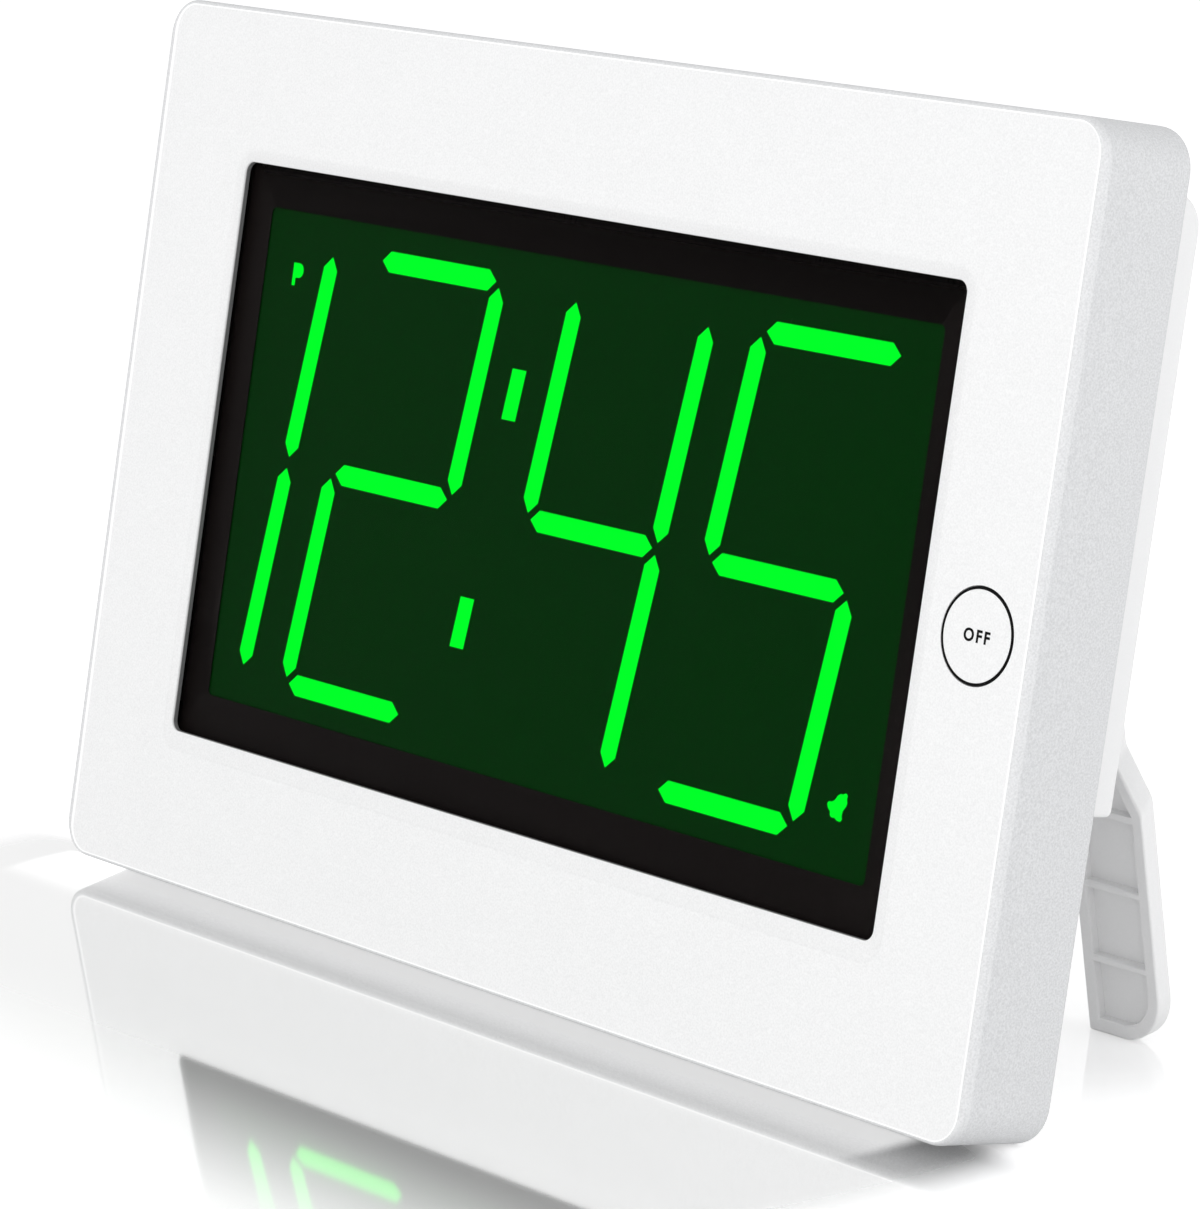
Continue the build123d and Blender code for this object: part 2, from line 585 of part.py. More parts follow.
def make_lamp_board():
    """Narrow board that carries the lamps, on edge at the left of the light guide."""
    x = LAMP_LEFT + LED_BOARD_THICKNESS / 2
    return block(LED_BOARD_THICKNESS, GUIDE_HEIGHT, LCD_BACK, GUIDE_BACK, x, VIEW_Z)


def make_lamps():
    """Row of lamps that shine into the light guide."""
    x = LAMP_LEFT + LED_BOARD_THICKNESS + LED_DEPTH / 2
    rows = [VIEW_Z + (i - (LED_COUNT - 1) / 2) * LED_PITCH for i in range(LED_COUNT)]
    return Compound(children=[block(LED_DEPTH, LED_SIZE, LCD_BACK, LCD_BACK + LED_SIZE, x, z) for z in rows])


def make_rubber_strip():
    """Striped rubber that carries the signals from the board to the glass."""
    return block(RUBBER_STRIP_LENGTH, RUBBER_STRIP_WIDTH, LCD_BACK, HOLDER_BACK, VIEW_X, STRIP_Z)


def make_main_board():
    """Board behind the display holder."""
    board = block(BOARD_WIDTH, BOARD_HEIGHT, HOLDER_BACK, BOARD_BACK, VIEW_X, VIEW_Z)
    return pegged(board, HOLDER_BACK, BOARD_BACK, BOARD_PEGS)


def make_clock_chip():
    """Clock controller on the back of the board."""
    return block(CHIP_SIZE, CHIP_SIZE, BOARD_BACK, BOARD_BACK + CHIP_HEIGHT, CHIP_X, CHIP_Z)


def make_quartz_crystal():
    """Small metal can of the time base, lying on the board."""
    start, end = CHIP_X - CRYSTAL_LENGTH / 2, CHIP_X + CRYSTAL_LENGTH / 2
    y, z = BOARD_BACK + CRYSTAL_RADIUS, CHIP_Z + CRYSTAL_SPACING
    return axle(CRYSTAL_RADIUS, start, end, y, z, SMALL_SIDES)


def make_stop_board():
    """Small board behind the stop button, on two pegs of the front shell."""
    board = block(STOP_BOARD_WIDTH, STOP_BOARD_HEIGHT, STOP_BOARD_FRONT, STOP_BOARD_BACK, STOP_X, STOP_Z)
    return pegged(board, STOP_BOARD_FRONT, STOP_BOARD_BACK, STOP_PEGS)


def make_stop_contact():
    """Push switch under the stop button."""
    face = STOP_BOARD_FRONT - TACT_HEIGHT
    body = block(TACT_SIZE, TACT_SIZE, face, STOP_BOARD_FRONT, STOP_X, STOP_Z)
    return body + block(PLUNGER_SIZE, PLUNGER_SIZE, face - PLUNGER_HEIGHT, face, STOP_X, STOP_Z)


def make_stop_button():
    """Round cap flush with the face, with a flange behind the face and a stem towards the push switch."""
    flange_front = FRONT_WALL + RUN_GAP
    flange_back = flange_front + STOP_FLANGE_THICKNESS
    cap = rod(STOP_RADIUS, 0, flange_front, STOP_X, STOP_Z)
    cap += rod(STOP_RADIUS + STOP_FLANGE, flange_front, flange_back, STOP_X, STOP_Z, SMALL_SIDES)
    cap += block(STOP_STEM_SIZE, STOP_STEM_SIZE, flange_back, STOP_STEM_END, STOP_X, STOP_Z)
    return cap - make_stop_ring()


def make_stop_ring():
    """Black ring let into the edge of the cap."""
    ring = rod(STOP_RADIUS, 0, STOP_RING_DEPTH, STOP_X, STOP_Z)
    return ring - rod(STOP_RADIUS - STOP_RING_WIDTH, 0, STOP_RING_DEPTH, STOP_X, STOP_Z)


def stand_outline(rise=0.0):
    """Front view of the folded stand: two feet, narrower necks and a crossbar. Rise lifts the shoulders."""
    low = FOOT_Z + SHOULDER_HEIGHT + rise
    high = low + (STAND_OUTER - STAND_NECK) / tan(radians(SHOULDER_SLOPE))
    right = [(STAND_INNER, CROSSBAR_Z), (STAND_INNER, FOOT_Z), (STAND_OUTER, FOOT_Z), (STAND_OUTER, low),
             (STAND_NECK, high), (STAND_NECK, HEEL_Z)]
    left = [(-x, z) for x, z in reversed(right)]
    outline = Sketch() + Polygon(*right, *left, align=None)
    outline = fillet(outline_corners(outline, STAND_OUTER, FOOT_Z), STAND_FOOT_ROUND)
    for x, z in ((STAND_OUTER, low), (STAND_NECK, high), (STAND_INNER, CROSSBAR_Z)):
        outline = fillet(outline_corners(outline, x, z), STAND_BEND_ROUND)
    return outline


def opened(solid):
    """Turns a piece of the folded stand to where the stand stands open."""
    return solid.rotate(Axis((0, HINGE_Y, HINGE_Z), (1, 0, 0)), STAND_ANGLE)


def make_stand_frame():
    """Swing-out stand with ribbed pockets towards the clock and a heel that stops on the channel floor."""
    front, back = facing(STAND_FRONT) * stand_outline(), facing(STAND_BACK) * stand_outline(SHOULDER_RAKE)
    frame = loft([front, back], ruled=True)
    pocket_back = STAND_FRONT + STAND_POCKET
    pocket_outline = offset(stand_outline(), amount=-STAND_RIM, kind=Kind.INTERSECTION)
    pocket = slab(pocket_outline, STAND_FRONT, pocket_back)
    solid_from = HINGE_Z - HINGE_SOLID
    solid_height = HEEL_Z + HINGE_SOLID - solid_from
    pocket -= block(CASE_WIDTH, solid_height, STAND_FRONT, pocket_back, 0, solid_from + solid_height / 2)
    rib_height = STAND_RIB_PITCH
    while FOOT_Z + rib_height < CROSSBAR_Z:
        pocket -= block(CASE_WIDTH, STAND_RIB, STAND_FRONT, pocket_back, 0, FOOT_Z + rib_height)
        rib_height += STAND_RIB_PITCH
    rib_z = (CROSSBAR_Z + solid_from) / 2
    rib_reach = CROSSBAR_RIB_PITCH / 2
    while rib_reach < STAND_INNER:
        for x in (-rib_reach, rib_reach):
            pocket -= block(STAND_RIB, CROSSBAR_DROP, STAND_FRONT, pocket_back, x, rib_z)
        rib_reach += CROSSBAR_RIB_PITCH
    frame -= pocket
    for side in (-1, 1):
        start, end = sorted((side * (STAND_NECK - PIN_GRIP), side * STAND_NECK))
        frame -= axle(PIN_RADIUS + THREAD_GAP, start, end, HINGE_Y, HINGE_Z)
    frame = opened(frame)
    stop_face = CHANNEL_FLOOR + HEEL_GAP
    return frame - block(CASE_WIDTH, 2 * STAND_LENGTH, 0, stop_face, 0, HINGE_Z + STAND_LENGTH)


def make_stand_pins():
    """Two steel pins in the ends of the crossbar, which turn in the walls of the channel."""
    reach = CHANNEL_SIDE + HOUSING_WALL - PIN_END_GAP
    spans = [sorted((side * (STAND_NECK - PIN_GRIP), side * reach)) for side in (-1, 1)]
    return Compound(children=[axle(PIN_RADIUS, start, end, HINGE_Y, HINGE_Z) for start, end in spans])


def back_edges(solid, depth):
    """Edges along the width at that depth, from the lowest to the highest."""
    return edges_at(solid, depth).filter_by(Axis.X).sort_by(Axis.Z)


def rounded_housing(width, height, back, top_round):
    """Box behind the back plate with its upper back edge rounded."""
    box = block(width, height, COVER_FRONT, back, 0, HOUSING_Z)
    return fillet(back_edges(box, back)[-1], top_round)


def make_rear_cover():
    """Back plate with the raised housing, the battery bay, the stand's channel and all openings."""
    cover_width = CASE_WIDTH - 2 * (CASE_WALL + COVER_GAP)
    cover_height = CASE_HEIGHT - 2 * (CASE_WALL + COVER_GAP)
    cover_corner = CASE_CORNER - CASE_WALL - COVER_GAP
    cover = plate(cover_width, cover_height, cover_corner, COVER_FRONT, CASE_DEPTH)
    housing = rounded_housing(HOUSING_WIDTH, HOUSING_HEIGHT, HOUSING_BACK, HOUSING_TOP_ROUND)
    housing = fillet(back_edges(housing, HOUSING_BACK)[0], HOUSING_BACK_ROUND)
    for side in (housing.faces().sort_by(Axis.X)[0], housing.faces().sort_by(Axis.X)[-1]):
        housing = chamfer(side.edges().filter_by(lambda e: e.center().Y > CASE_DEPTH), HOUSING_SIDE_CHAMFER)
    cover += housing
    channel_outline = offset(stand_outline(SHOULDER_RAKE), amount=CHANNEL_GAP, kind=Kind.INTERSECTION)
    channel_walls = offset(channel_outline, amount=HOUSING_WALL, kind=Kind.INTERSECTION)
    cavity = rounded_housing(HOUSING_WIDTH - 2 * HOUSING_WALL, HOUSING_HEIGHT - 2 * HOUSING_WALL,
                             HOUSING_INNER, HOUSING_TOP_ROUND - HOUSING_WALL)
    cavity -= slab(channel_walls, CHANNEL_FLOOR - HOUSING_WALL, HOUSING_BACK)
    bay_outer = plate(2 * BAY_SIDE, 2 * BAY_END, DOOR_CORNER, BAY_FRONT, HOUSING_INNER, 0, BAY_Z)
    cover -= cavity
    cover += bay_outer
    cover -= slab(channel_outline, CHANNEL_FLOOR, HOUSING_BACK)
    cover -= block(BAY_LENGTH, BAY_HEIGHT, BAY_FLOOR, HOUSING_BACK, 0, BAY_Z)
    cover -= plate(DOOR_WIDTH + 2 * DOOR_GAP, DOOR_HEIGHT + 2 * DOOR_GAP, DOOR_CORNER,
                   BAY_MOUTH, HOUSING_BACK, 0, BAY_Z)
    for side in (-1, 1):
        start, end = sorted((side * CHANNEL_SIDE, side * (CHANNEL_SIDE + HOUSING_WALL)))
        cover -= axle(PIN_RADIUS + RUN_GAP, start, end, HINGE_Y, HINGE_Z)
    well_radius = SCREW_HEAD_RADIUS + SCREW_WELL_GAP
    for x, z in CASE_SCREWS:
        cover += rod(well_radius + SCREW_WELL_WALL, CASE_POST_END, COVER_FRONT, x, z, SMALL_SIDES)
        cover -= rod(well_radius, CASE_SCREW_SEAT, CASE_DEPTH, x, z, SMALL_SIDES)
        cover -= rod(SCREW_RADIUS + SCREW_HOLE_GAP, CASE_POST_END, CASE_DEPTH, x, z, SMALL_SIDES)
    for x, z in KEY_PLACES.values():
        cover -= rod(KEY_RADIUS + BUTTON_GAP, HOUSING_INNER, HOUSING_BACK, x, z, SMALL_SIDES)
    for x, z in SWITCH_PLACES.values():
        slot_height = SWITCH_GRIP_HEIGHT + 2 * BUTTON_GAP
        cover -= block(SWITCH_SLOT_WIDTH, slot_height, HOUSING_INNER, HOUSING_BACK, x, z)
    for x, z in KEY_PEGS:
        cover += peg(HOUSING_INNER, KEY_BOARD_BACK, KEY_BOARD_FRONT, x, z)
    cover += collar(BUZZER_RADIUS + STACK_GAP, BUZZER_RING_WALL, HOUSING_INNER - BUZZER_RING_HEIGHT,
                    HOUSING_INNER, BUZZER_X, BUZZER_Z)
    for i in range(SLOT_COUNT):
        z = BUZZER_Z + (i - (SLOT_COUNT - 1) / 2) * SLOT_PITCH
        cover -= slab(SlotOverall(SLOT_LENGTH, SLOT_WIDTH), HOUSING_INNER, HOUSING_BACK, BUZZER_X, z)
    cover -= rod(KEYHOLE_RADIUS, HOUSING_INNER, HOUSING_BACK, 0, KEYHOLE_Z)
    neck = SlotOverall(2 * (KEYHOLE_RISE + KEYHOLE_NECK), 2 * KEYHOLE_NECK, rotation=90)
    lower = block(CASE_WIDTH, STAND_LENGTH, HOUSING_INNER, HOUSING_BACK, 0, KEYHOLE_Z - STAND_LENGTH / 2)
    return cover - (slab(neck, HOUSING_INNER, HOUSING_BACK, 0, KEYHOLE_Z) - lower)


def make_case_screws():
    """Screws from the wells of the rear cover into the posts of the front shell."""
    tip = CASE_SCREW_SEAT - SCREW_WELL_WALL - SCREW_GRIP + SCREW_HEAD_HEIGHT
    return Compound(children=[pan_screw(CASE_SCREW_SEAT, tip, x, z) for x, z in CASE_SCREWS])


def make_holder_screws():
    """Screws through the ears of the display holder into the front shell."""
    tip = FRONT_WALL + SCREW_HOLE_GAP
    return Compound(children=[pan_screw(HOLDER_BACK, tip, x, z) for x, z in EAR_SCREWS])


def make_key_board():
    """Small board behind the rear keys, on pegs of the rear cover."""
    board = block(KEY_BOARD_WIDTH, KEY_BOARD_HEIGHT, KEY_BOARD_FRONT, KEY_BOARD_BACK, KEY_X, KEY_Z)
    return pegged(board, KEY_BOARD_FRONT, KEY_BOARD_BACK, KEY_PEGS)


def make_key_contacts():
    """Push switches under the rear keys."""
    body_back = KEY_BOARD_BACK + TACT_HEIGHT
    contacts = []
    for x, z in KEY_PLACES.values():
        body = block(TACT_SIZE, TACT_SIZE, KEY_BOARD_BACK, body_back, x, z)
        tip = body_back + PLUNGER_HEIGHT
        contacts.append(body + block(PLUNGER_SIZE, PLUNGER_SIZE, body_back, tip, x, z))
    return Compound(children=contacts)


def make_switch_bodies():
    """Bodies of the two slide switches."""
    places = SWITCH_PLACES.values()
    return Compound(children=[block(SWITCH_BODY_WIDTH, SWITCH_BODY_HEIGHT, KEY_BOARD_BACK,
                                    SWITCH_BODY_BACK, x, z) for x, z in places])


def make_key(place):
    """Rear key: a round cap through the housing, a square flange behind the wall and a stem."""
    flange_back = HOUSING_INNER - RUN_GAP
    flange_front = flange_back - KEY_FLANGE_THICKNESS
    tip = HOUSING_BACK + KEY_PROUD
    cap = rod(KEY_RADIUS, flange_back, tip, *place, SMALL_SIDES)
    cap = chamfer(edges_at(cap, tip), KEY_CHAMFER)
    flange_size = 2 * (KEY_RADIUS + KEY_FLANGE)
    cap += block(flange_size, flange_size, flange_front, flange_back, *place)
    return cap + block(KEY_STEM_SIZE, KEY_STEM_SIZE, flange_front - KEY_STEM_LENGTH, flange_front, *place)


def make_switch_knob(place):
    """Knob of a slide switch at the left end of its travel, ridged for a fingertip."""
    x, z = place[0] - SWITCH_TRAVEL / 2, place[1]
    flange_back = HOUSING_INNER - RUN_GAP
    tip = HOUSING_BACK + SWITCH_PROUD
    knob = block(SWITCH_GRIP_WIDTH, SWITCH_GRIP_HEIGHT, flange_back, tip, x, z)
    for step in (-1, 0, 1):
        knob -= block(SWITCH_RIDGE_WIDTH, SWITCH_GRIP_HEIGHT, tip - SWITCH_RIDGE_DEPTH, tip,
                      x + step * SWITCH_RIDGE_PITCH, z)
    flange_width = SWITCH_SLOT_WIDTH + SWITCH_TRAVEL + 2 * SWITCH_FLANGE
    flange_height = SWITCH_GRIP_HEIGHT + 2 * SWITCH_FLANGE
    return knob + block(flange_width, flange_height, flange_back - SWITCH_FLANGE_THICKNESS, flange_back, x, z)


def make_buzzer():
    """Round sounder held in a ring behind the slots."""
    can = rod(BUZZER_RADIUS, HOUSING_INNER - BUZZER_HEIGHT, HOUSING_INNER, BUZZER_X, BUZZER_Z)
    mouth_floor = HOUSING_INNER - BUZZER_HEIGHT / 2
    return can - rod(BUZZER_RADIUS / 4, mouth_floor, HOUSING_INNER, BUZZER_X, BUZZER_Z, SMALL_SIDES)


def make_batteries():
    """Cells side by side in the bay, turned end for end in turn."""
    middle_y = BAY_FLOOR + CELL_DIAMETER / 2 + CELL_ROOM / 2
    cells = []
    for i, z in enumerate(CELL_ROWS):
        side = 1 if i % 2 == 0 else -1
        shift = -side * NUB_LENGTH / 2
        cell = axle(CELL_DIAMETER / 2, shift - CELL_LENGTH / 2, shift + CELL_LENGTH / 2, middle_y, z)
        start, end = sorted((shift + side * CELL_LENGTH / 2, shift + side * (CELL_LENGTH / 2 + NUB_LENGTH)))
        cells.append(cell + axle(NUB_RADIUS, start, end, middle_y, z, SMALL_SIDES))
    return Compound(children=cells)


def make_battery_contacts():
    """Bent metal leaves at both ends of each cell."""
    middle_y = BAY_FLOOR + CELL_DIAMETER / 2 + CELL_ROOM / 2
    leaves = []
    for z in CELL_ROWS:
        for side in (-1, 1):
            wall = side * (BAY_LENGTH / 2 - RUN_GAP)
            crown = wall - side * (CONTACT_ROOM - STACK_GAP)
            low, high = middle_y - CONTACT_HEIGHT / 2, middle_y + CONTACT_HEIGHT / 2
            inward = -side * CONTACT_THICKNESS
            profile = Polygon((wall, low), (wall, low + CONTACT_THICKNESS), (crown - inward, middle_y),
                              (wall, high - CONTACT_THICKNESS), (wall, high), (crown, middle_y), align=None)
            low_end = Plane.XY.offset(z - CONTACT_WIDTH / 2)
            leaves.append(extrude(low_end * profile, amount=CONTACT_WIDTH, dir=(0, 0, 1)))
    return Compound(children=leaves)


def make_battery_door():
    """Lift-off door, flush with the housing, with two locating ribs and a ridged grip."""
    door = plate(DOOR_WIDTH, DOOR_HEIGHT, DOOR_CORNER - DOOR_GAP, BAY_MOUTH, HOUSING_BACK, 0, BAY_Z)
    rib_z = BAY_HEIGHT / 2 - DOOR_GAP - DOOR_RIB_THICKNESS / 2
    rib_length = BAY_LENGTH - 2 * (CONTACT_ROOM + DOOR_GAP)
    for side in (-1, 1):
        z = BAY_Z + side * rib_z
        door += block(rib_length, DOOR_RIB_THICKNESS, BAY_MOUTH - DOOR_RIB_DEPTH, BAY_MOUTH, 0, z)
    for i in range(DOOR_GRIP_COUNT):
        z = BAY_Z - DOOR_GRIP_DROP - (i - (DOOR_GRIP_COUNT - 1) / 2) * DOOR_GRIP_PITCH
        groove_floor = HOUSING_BACK - DOOR_GRIP_DEPTH
        door -= block(DOOR_GRIP_WIDTH, DOOR_GRIP_THICKNESS, groove_floor, HOUSING_BACK, 0, z)
    return door


pieces = {
    "front_bezel": make_front_bezel(),
    "rear_cover": make_rear_cover(),
    "display_lens": make_display_lens(),
    "lens_border": make_lens_border(),
    "lcd_panel": make_lcd_panel(),
    "lcd_digits": make_lcd_digits(),
    "lcd_holder": make_lcd_holder(),
    "light_guide": make_light_guide(),
    "reflector_film": make_reflector_film(),
    "lamp_board": make_lamp_board(),
    "lamps": make_lamps(),
    "rubber_strip": make_rubber_strip(),
    "main_board": make_main_board(),
    "clock_chip": make_clock_chip(),
    "quartz_crystal": make_quartz_crystal(),
    "stop_board": make_stop_board(),
    "stop_contact": make_stop_contact(),
    "stop_button": make_stop_button(),
    "stop_ring": make_stop_ring(),
    "key_board": make_key_board(),
    "key_contacts": make_key_contacts(),
    "switch_bodies": make_switch_bodies(),
    "buzzer": make_buzzer(),
    "batteries": make_batteries(),
    "battery_contacts": make_battery_contacts(),
    "battery_door": make_battery_door(),
    "case_screws": make_case_screws(),
    "holder_screws": make_holder_screws(),
    "stand_frame": make_stand_frame(),
    "stand_pins": make_stand_pins(),
}
pieces.update({name: make_key(place) for name, place in KEY_PLACES.items()})
pieces.update({name: make_switch_knob(place) for name, place in SWITCH_PLACES.items()})

# Lean the clock back onto its feet, with the origin under the middle of its outer box
leaned_back = {name: piece.rotate(Axis.X, -LEAN) for name, piece in pieces.items()}
boxes = [piece.bounding_box() for piece in leaned_back.values()]
ORIGIN_X = (min(box.min.X for box in boxes) + max(box.max.X for box in boxes)) / 2
ORIGIN_Y = (min(box.min.Y for box in boxes) + max(box.max.Y for box in boxes)) / 2
ORIGIN_Z = min(box.min.Z for box in boxes)
os.makedirs("parts", exist_ok=True)
for name, piece in leaned_back.items():
    export_step(Pos(-ORIGIN_X, -ORIGIN_Y, -ORIGIN_Z) * piece, f"parts/{name}.step")
print(f"lean {LEAN:.3f} degrees, origin {ORIGIN_X:.3f} {ORIGIN_Y:.3f} {ORIGIN_Z:.3f}, nodes {len(pieces)}")
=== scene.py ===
"""Looks of a desk alarm clock with a lit segment display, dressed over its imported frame."""
import json
import logging
import math
from dataclasses import dataclass
from enum import Enum
from typing import Any, Iterable, Sequence

import bmesh
import bpy
from mathutils import Matrix, Vector


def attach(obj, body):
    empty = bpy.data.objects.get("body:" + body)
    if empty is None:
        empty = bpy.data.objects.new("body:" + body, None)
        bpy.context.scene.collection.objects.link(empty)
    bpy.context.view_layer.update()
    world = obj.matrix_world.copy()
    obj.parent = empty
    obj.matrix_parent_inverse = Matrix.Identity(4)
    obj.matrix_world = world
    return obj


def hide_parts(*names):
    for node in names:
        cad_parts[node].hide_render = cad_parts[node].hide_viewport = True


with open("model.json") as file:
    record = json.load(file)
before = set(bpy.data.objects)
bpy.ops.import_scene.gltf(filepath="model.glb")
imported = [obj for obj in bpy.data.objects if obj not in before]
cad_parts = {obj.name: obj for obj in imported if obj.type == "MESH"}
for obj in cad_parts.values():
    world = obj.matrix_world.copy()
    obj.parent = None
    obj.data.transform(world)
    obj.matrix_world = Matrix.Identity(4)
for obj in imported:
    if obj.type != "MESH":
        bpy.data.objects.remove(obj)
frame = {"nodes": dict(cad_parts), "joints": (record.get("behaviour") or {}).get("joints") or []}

LOG = logging.getLogger("clock")
MM = 0.001
MERGE_DISTANCE = 1e-6
SHARP_ANGLE = math.radians(30.0)
NOISE_LOW, NOISE_HIGH = 0.3, 0.7  # most of a noise lies between these
WAVE_RADIANS = 20.0  # phase of a wave texture over one unit
MIX_FIRST, MIX_SECOND, MIX_RESULT = 6, 7, 2  # colour sockets of a mix node
RANDOM_LOW, RANDOM_HIGH, RANDOM_RESULT = 2, 3, 1  # number sockets of a random value node
RANK_DIGITS = 2  # solids are as high where their heights agree to so many digits
Colour = tuple[float, float, float]
Point2 = tuple[float, float]
Point3 = tuple[float, float, float]
Ring = list[bmesh.types.BMVert]
Material = bpy.types.Material
Mesh = bpy.types.Mesh
NodeTree = bpy.types.NodeTree
Object = bpy.types.Object
Socket = bpy.types.NodeSocket
Inputs = dict[int | str, Any]
WHITE: Colour = (1.0, 1.0, 1.0)
BLACK: Colour = (0.0, 0.0, 0.0)


class Tone(Enum):
    """Mesh attributes, from 0 to 1, that change the look of a piece from place to place: a painted highlight,
    painted shade on the plastic and a printed band on the cells, and a coarser, darker grain that also paints
    the sides' shade.
    """

    LIGHT = "edge_painted_highlight"
    PAINTED_SHADE_AND_BAND = "painted_shade_and_band"
    COARSE = "coarse_shaded_grain"


class Body(Enum):
    """Bodies that the pieces ride on."""

    CASE = "case"
    STOP = "stop_button"
    STAND = "stand"
    DOOR = "battery_door"
    TIME = "time_key"
    ALARM = "alarm_key"
    UP = "up_key"
    DOWN = "down_key"
    ALARM_SWITCH = "alarm_switch_knob"
    LIGHT_SWITCH = "light_switch_knob"


class Slot(Enum):
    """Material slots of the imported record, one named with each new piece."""

    WHITE = "white_plastic"
    GREY = "grey_plastic"
    INK = "black_print"
    LIT = "lit_green"
    STEEL = "bright_steel"
    CELL = "cell_wrap"


@dataclass(frozen=True)
class ClockPose:
    """Upright axes of the clock, in millimetres: X right, Y from the front face back, Z up."""

    matrix: Matrix

    @classmethod
    def from_frame(cls) -> "ClockPose":
        """Reads the lean from the stop button's travel and the place from the front shell.

        Returns:
            The pose, with zero in the middle of the front face.
        """
        travel = next(joint["axis"] for joint in frame["joints"] if joint["name"] == "stop_press")
        turn = Matrix.Rotation(-math.atan2(-travel[2], travel[1]), 4, "X")
        low, high = box_of("front_bezel", turn.inverted())
        x, z = middle_of(low, high)
        return cls(turn @ Matrix.Translation((x, low.y, z)) @ Matrix.Scale(MM, 4))

    def box(self, node: str) -> tuple[Vector, Vector]:
        """Lowest and highest corner of a CAD node in the clock's axes."""
        return box_of(node, self.matrix.inverted())

    def depth_axis(self) -> Vector:
        """Direction from the front to the back, in the frame."""
        return (self.matrix.to_3x3() @ Vector((0, 1, 0))).normalized()

    def solids(self, node: str) -> list[list[Vector]]:
        """Points of the separate solids in one CAD node.

        Args:
            node: Name of the CAD node.

        Returns:
            Points of each solid in the clock's axes, from the lowest solid to the highest, and from left
            to right where they are as high.
        """
        mesh = bmesh.new()
        mesh.from_mesh(frame["nodes"][node].data)
        bmesh.ops.transform(mesh, matrix=self.matrix.inverted(), verts=mesh.verts)
        bmesh.ops.remove_doubles(mesh, verts=mesh.verts, dist=MERGE_DISTANCE / MM)
        left, solids = set(mesh.verts), []
        while left:
            front = [left.pop()]
            island = list(front)
            while front:
                vert = front.pop()
                fresh = {edge.other_vert(vert) for edge in vert.link_edges} & left
                left.difference_update(fresh)
                front += fresh
                island += fresh
            solids.append([vert.co.copy() for vert in island])
        mesh.free()
        return sorted(solids, key=rank)


def corners_of(points: Sequence[Vector]) -> tuple[Vector, Vector]:
    """Lowest and highest corner of a set of points."""
    low = Vector([min(point[axis] for point in points) for axis in range(3)])
    return low, Vector([max(point[axis] for point in points) for axis in range(3)])


def rank(points: Sequence[Vector]) -> Point2:
    """Rounded height of a solid and its place from left to right, to sort by."""
    low, _ = corners_of(points)
    return round(low.z, RANK_DIGITS), low.x


def middle_of(low: Vector, high: Vector) -> Point2:
    """Middle of a box as it shows from the front."""
    return (low.x + high.x) / 2, (low.z + high.z) / 2


def box_of(node: str, matrix: Matrix) -> tuple[Vector, Vector]:
    """Lowest and highest corner of a CAD node after a transform.

    Args:
        node: Name of the CAD node.
        matrix: Transform from the frame to the wanted axes.

    Returns:
        The two corners.
    """
    return corners_of([matrix @ vert.co for vert in frame["nodes"][node].data.vertices])


class NodeGraph:
    """Writes a node tree in short calls."""

    def __init__(self, tree: NodeTree) -> None:
        """Starts on an emptied tree."""
        self.tree = tree
        tree.nodes.clear()

    def add(self, kind: str, inputs: Inputs | None = None, **settings: Any) -> bpy.types.Node:
        """Adds a node.

        Args:
            kind: Blender's type name of the node.
            inputs: Values or sockets for its inputs, by name or number.
            settings: Attributes of the node.

        Returns:
            The new node.
        """
        node = self.tree.nodes.new(kind)
        for key, value in settings.items():
            setattr(node, key, value)
        for key, value in (inputs or {}).items():
            self.feed(node.inputs[key], value)
        return node

    def out(self, kind: str, inputs: Inputs | None = None, number: int | str = 0, **settings: Any) -> Socket:
        """Adds a node and gives one of its outputs, by name or number."""
        return self.add(kind, inputs, **settings).outputs[number]

    def feed(self, socket: Socket, value: Any) -> None:
        """Links a socket, or sets its value."""
        if isinstance(value, Socket):
            self.tree.links.new(value, socket)
        else:
            socket.default_value = value

    def math(self, operation: str, first: Any, second: Any = 0.0) -> Socket:
        """Result of a math node."""
        return self.out("ShaderNodeMath", {0: first, 1: second}, operation=operation)

    def ramp(self, value: Socket, start: float, end: float, first: float, last: float) -> Socket:
        """Goes smoothly from first to last while a value goes from start to end."""
        return self.out("ShaderNodeMapRange", {
            "Value": value, "From Min": start, "From Max": end, "To Min": first, "To Max": last,
        }, interpolation_type="SMOOTHSTEP")


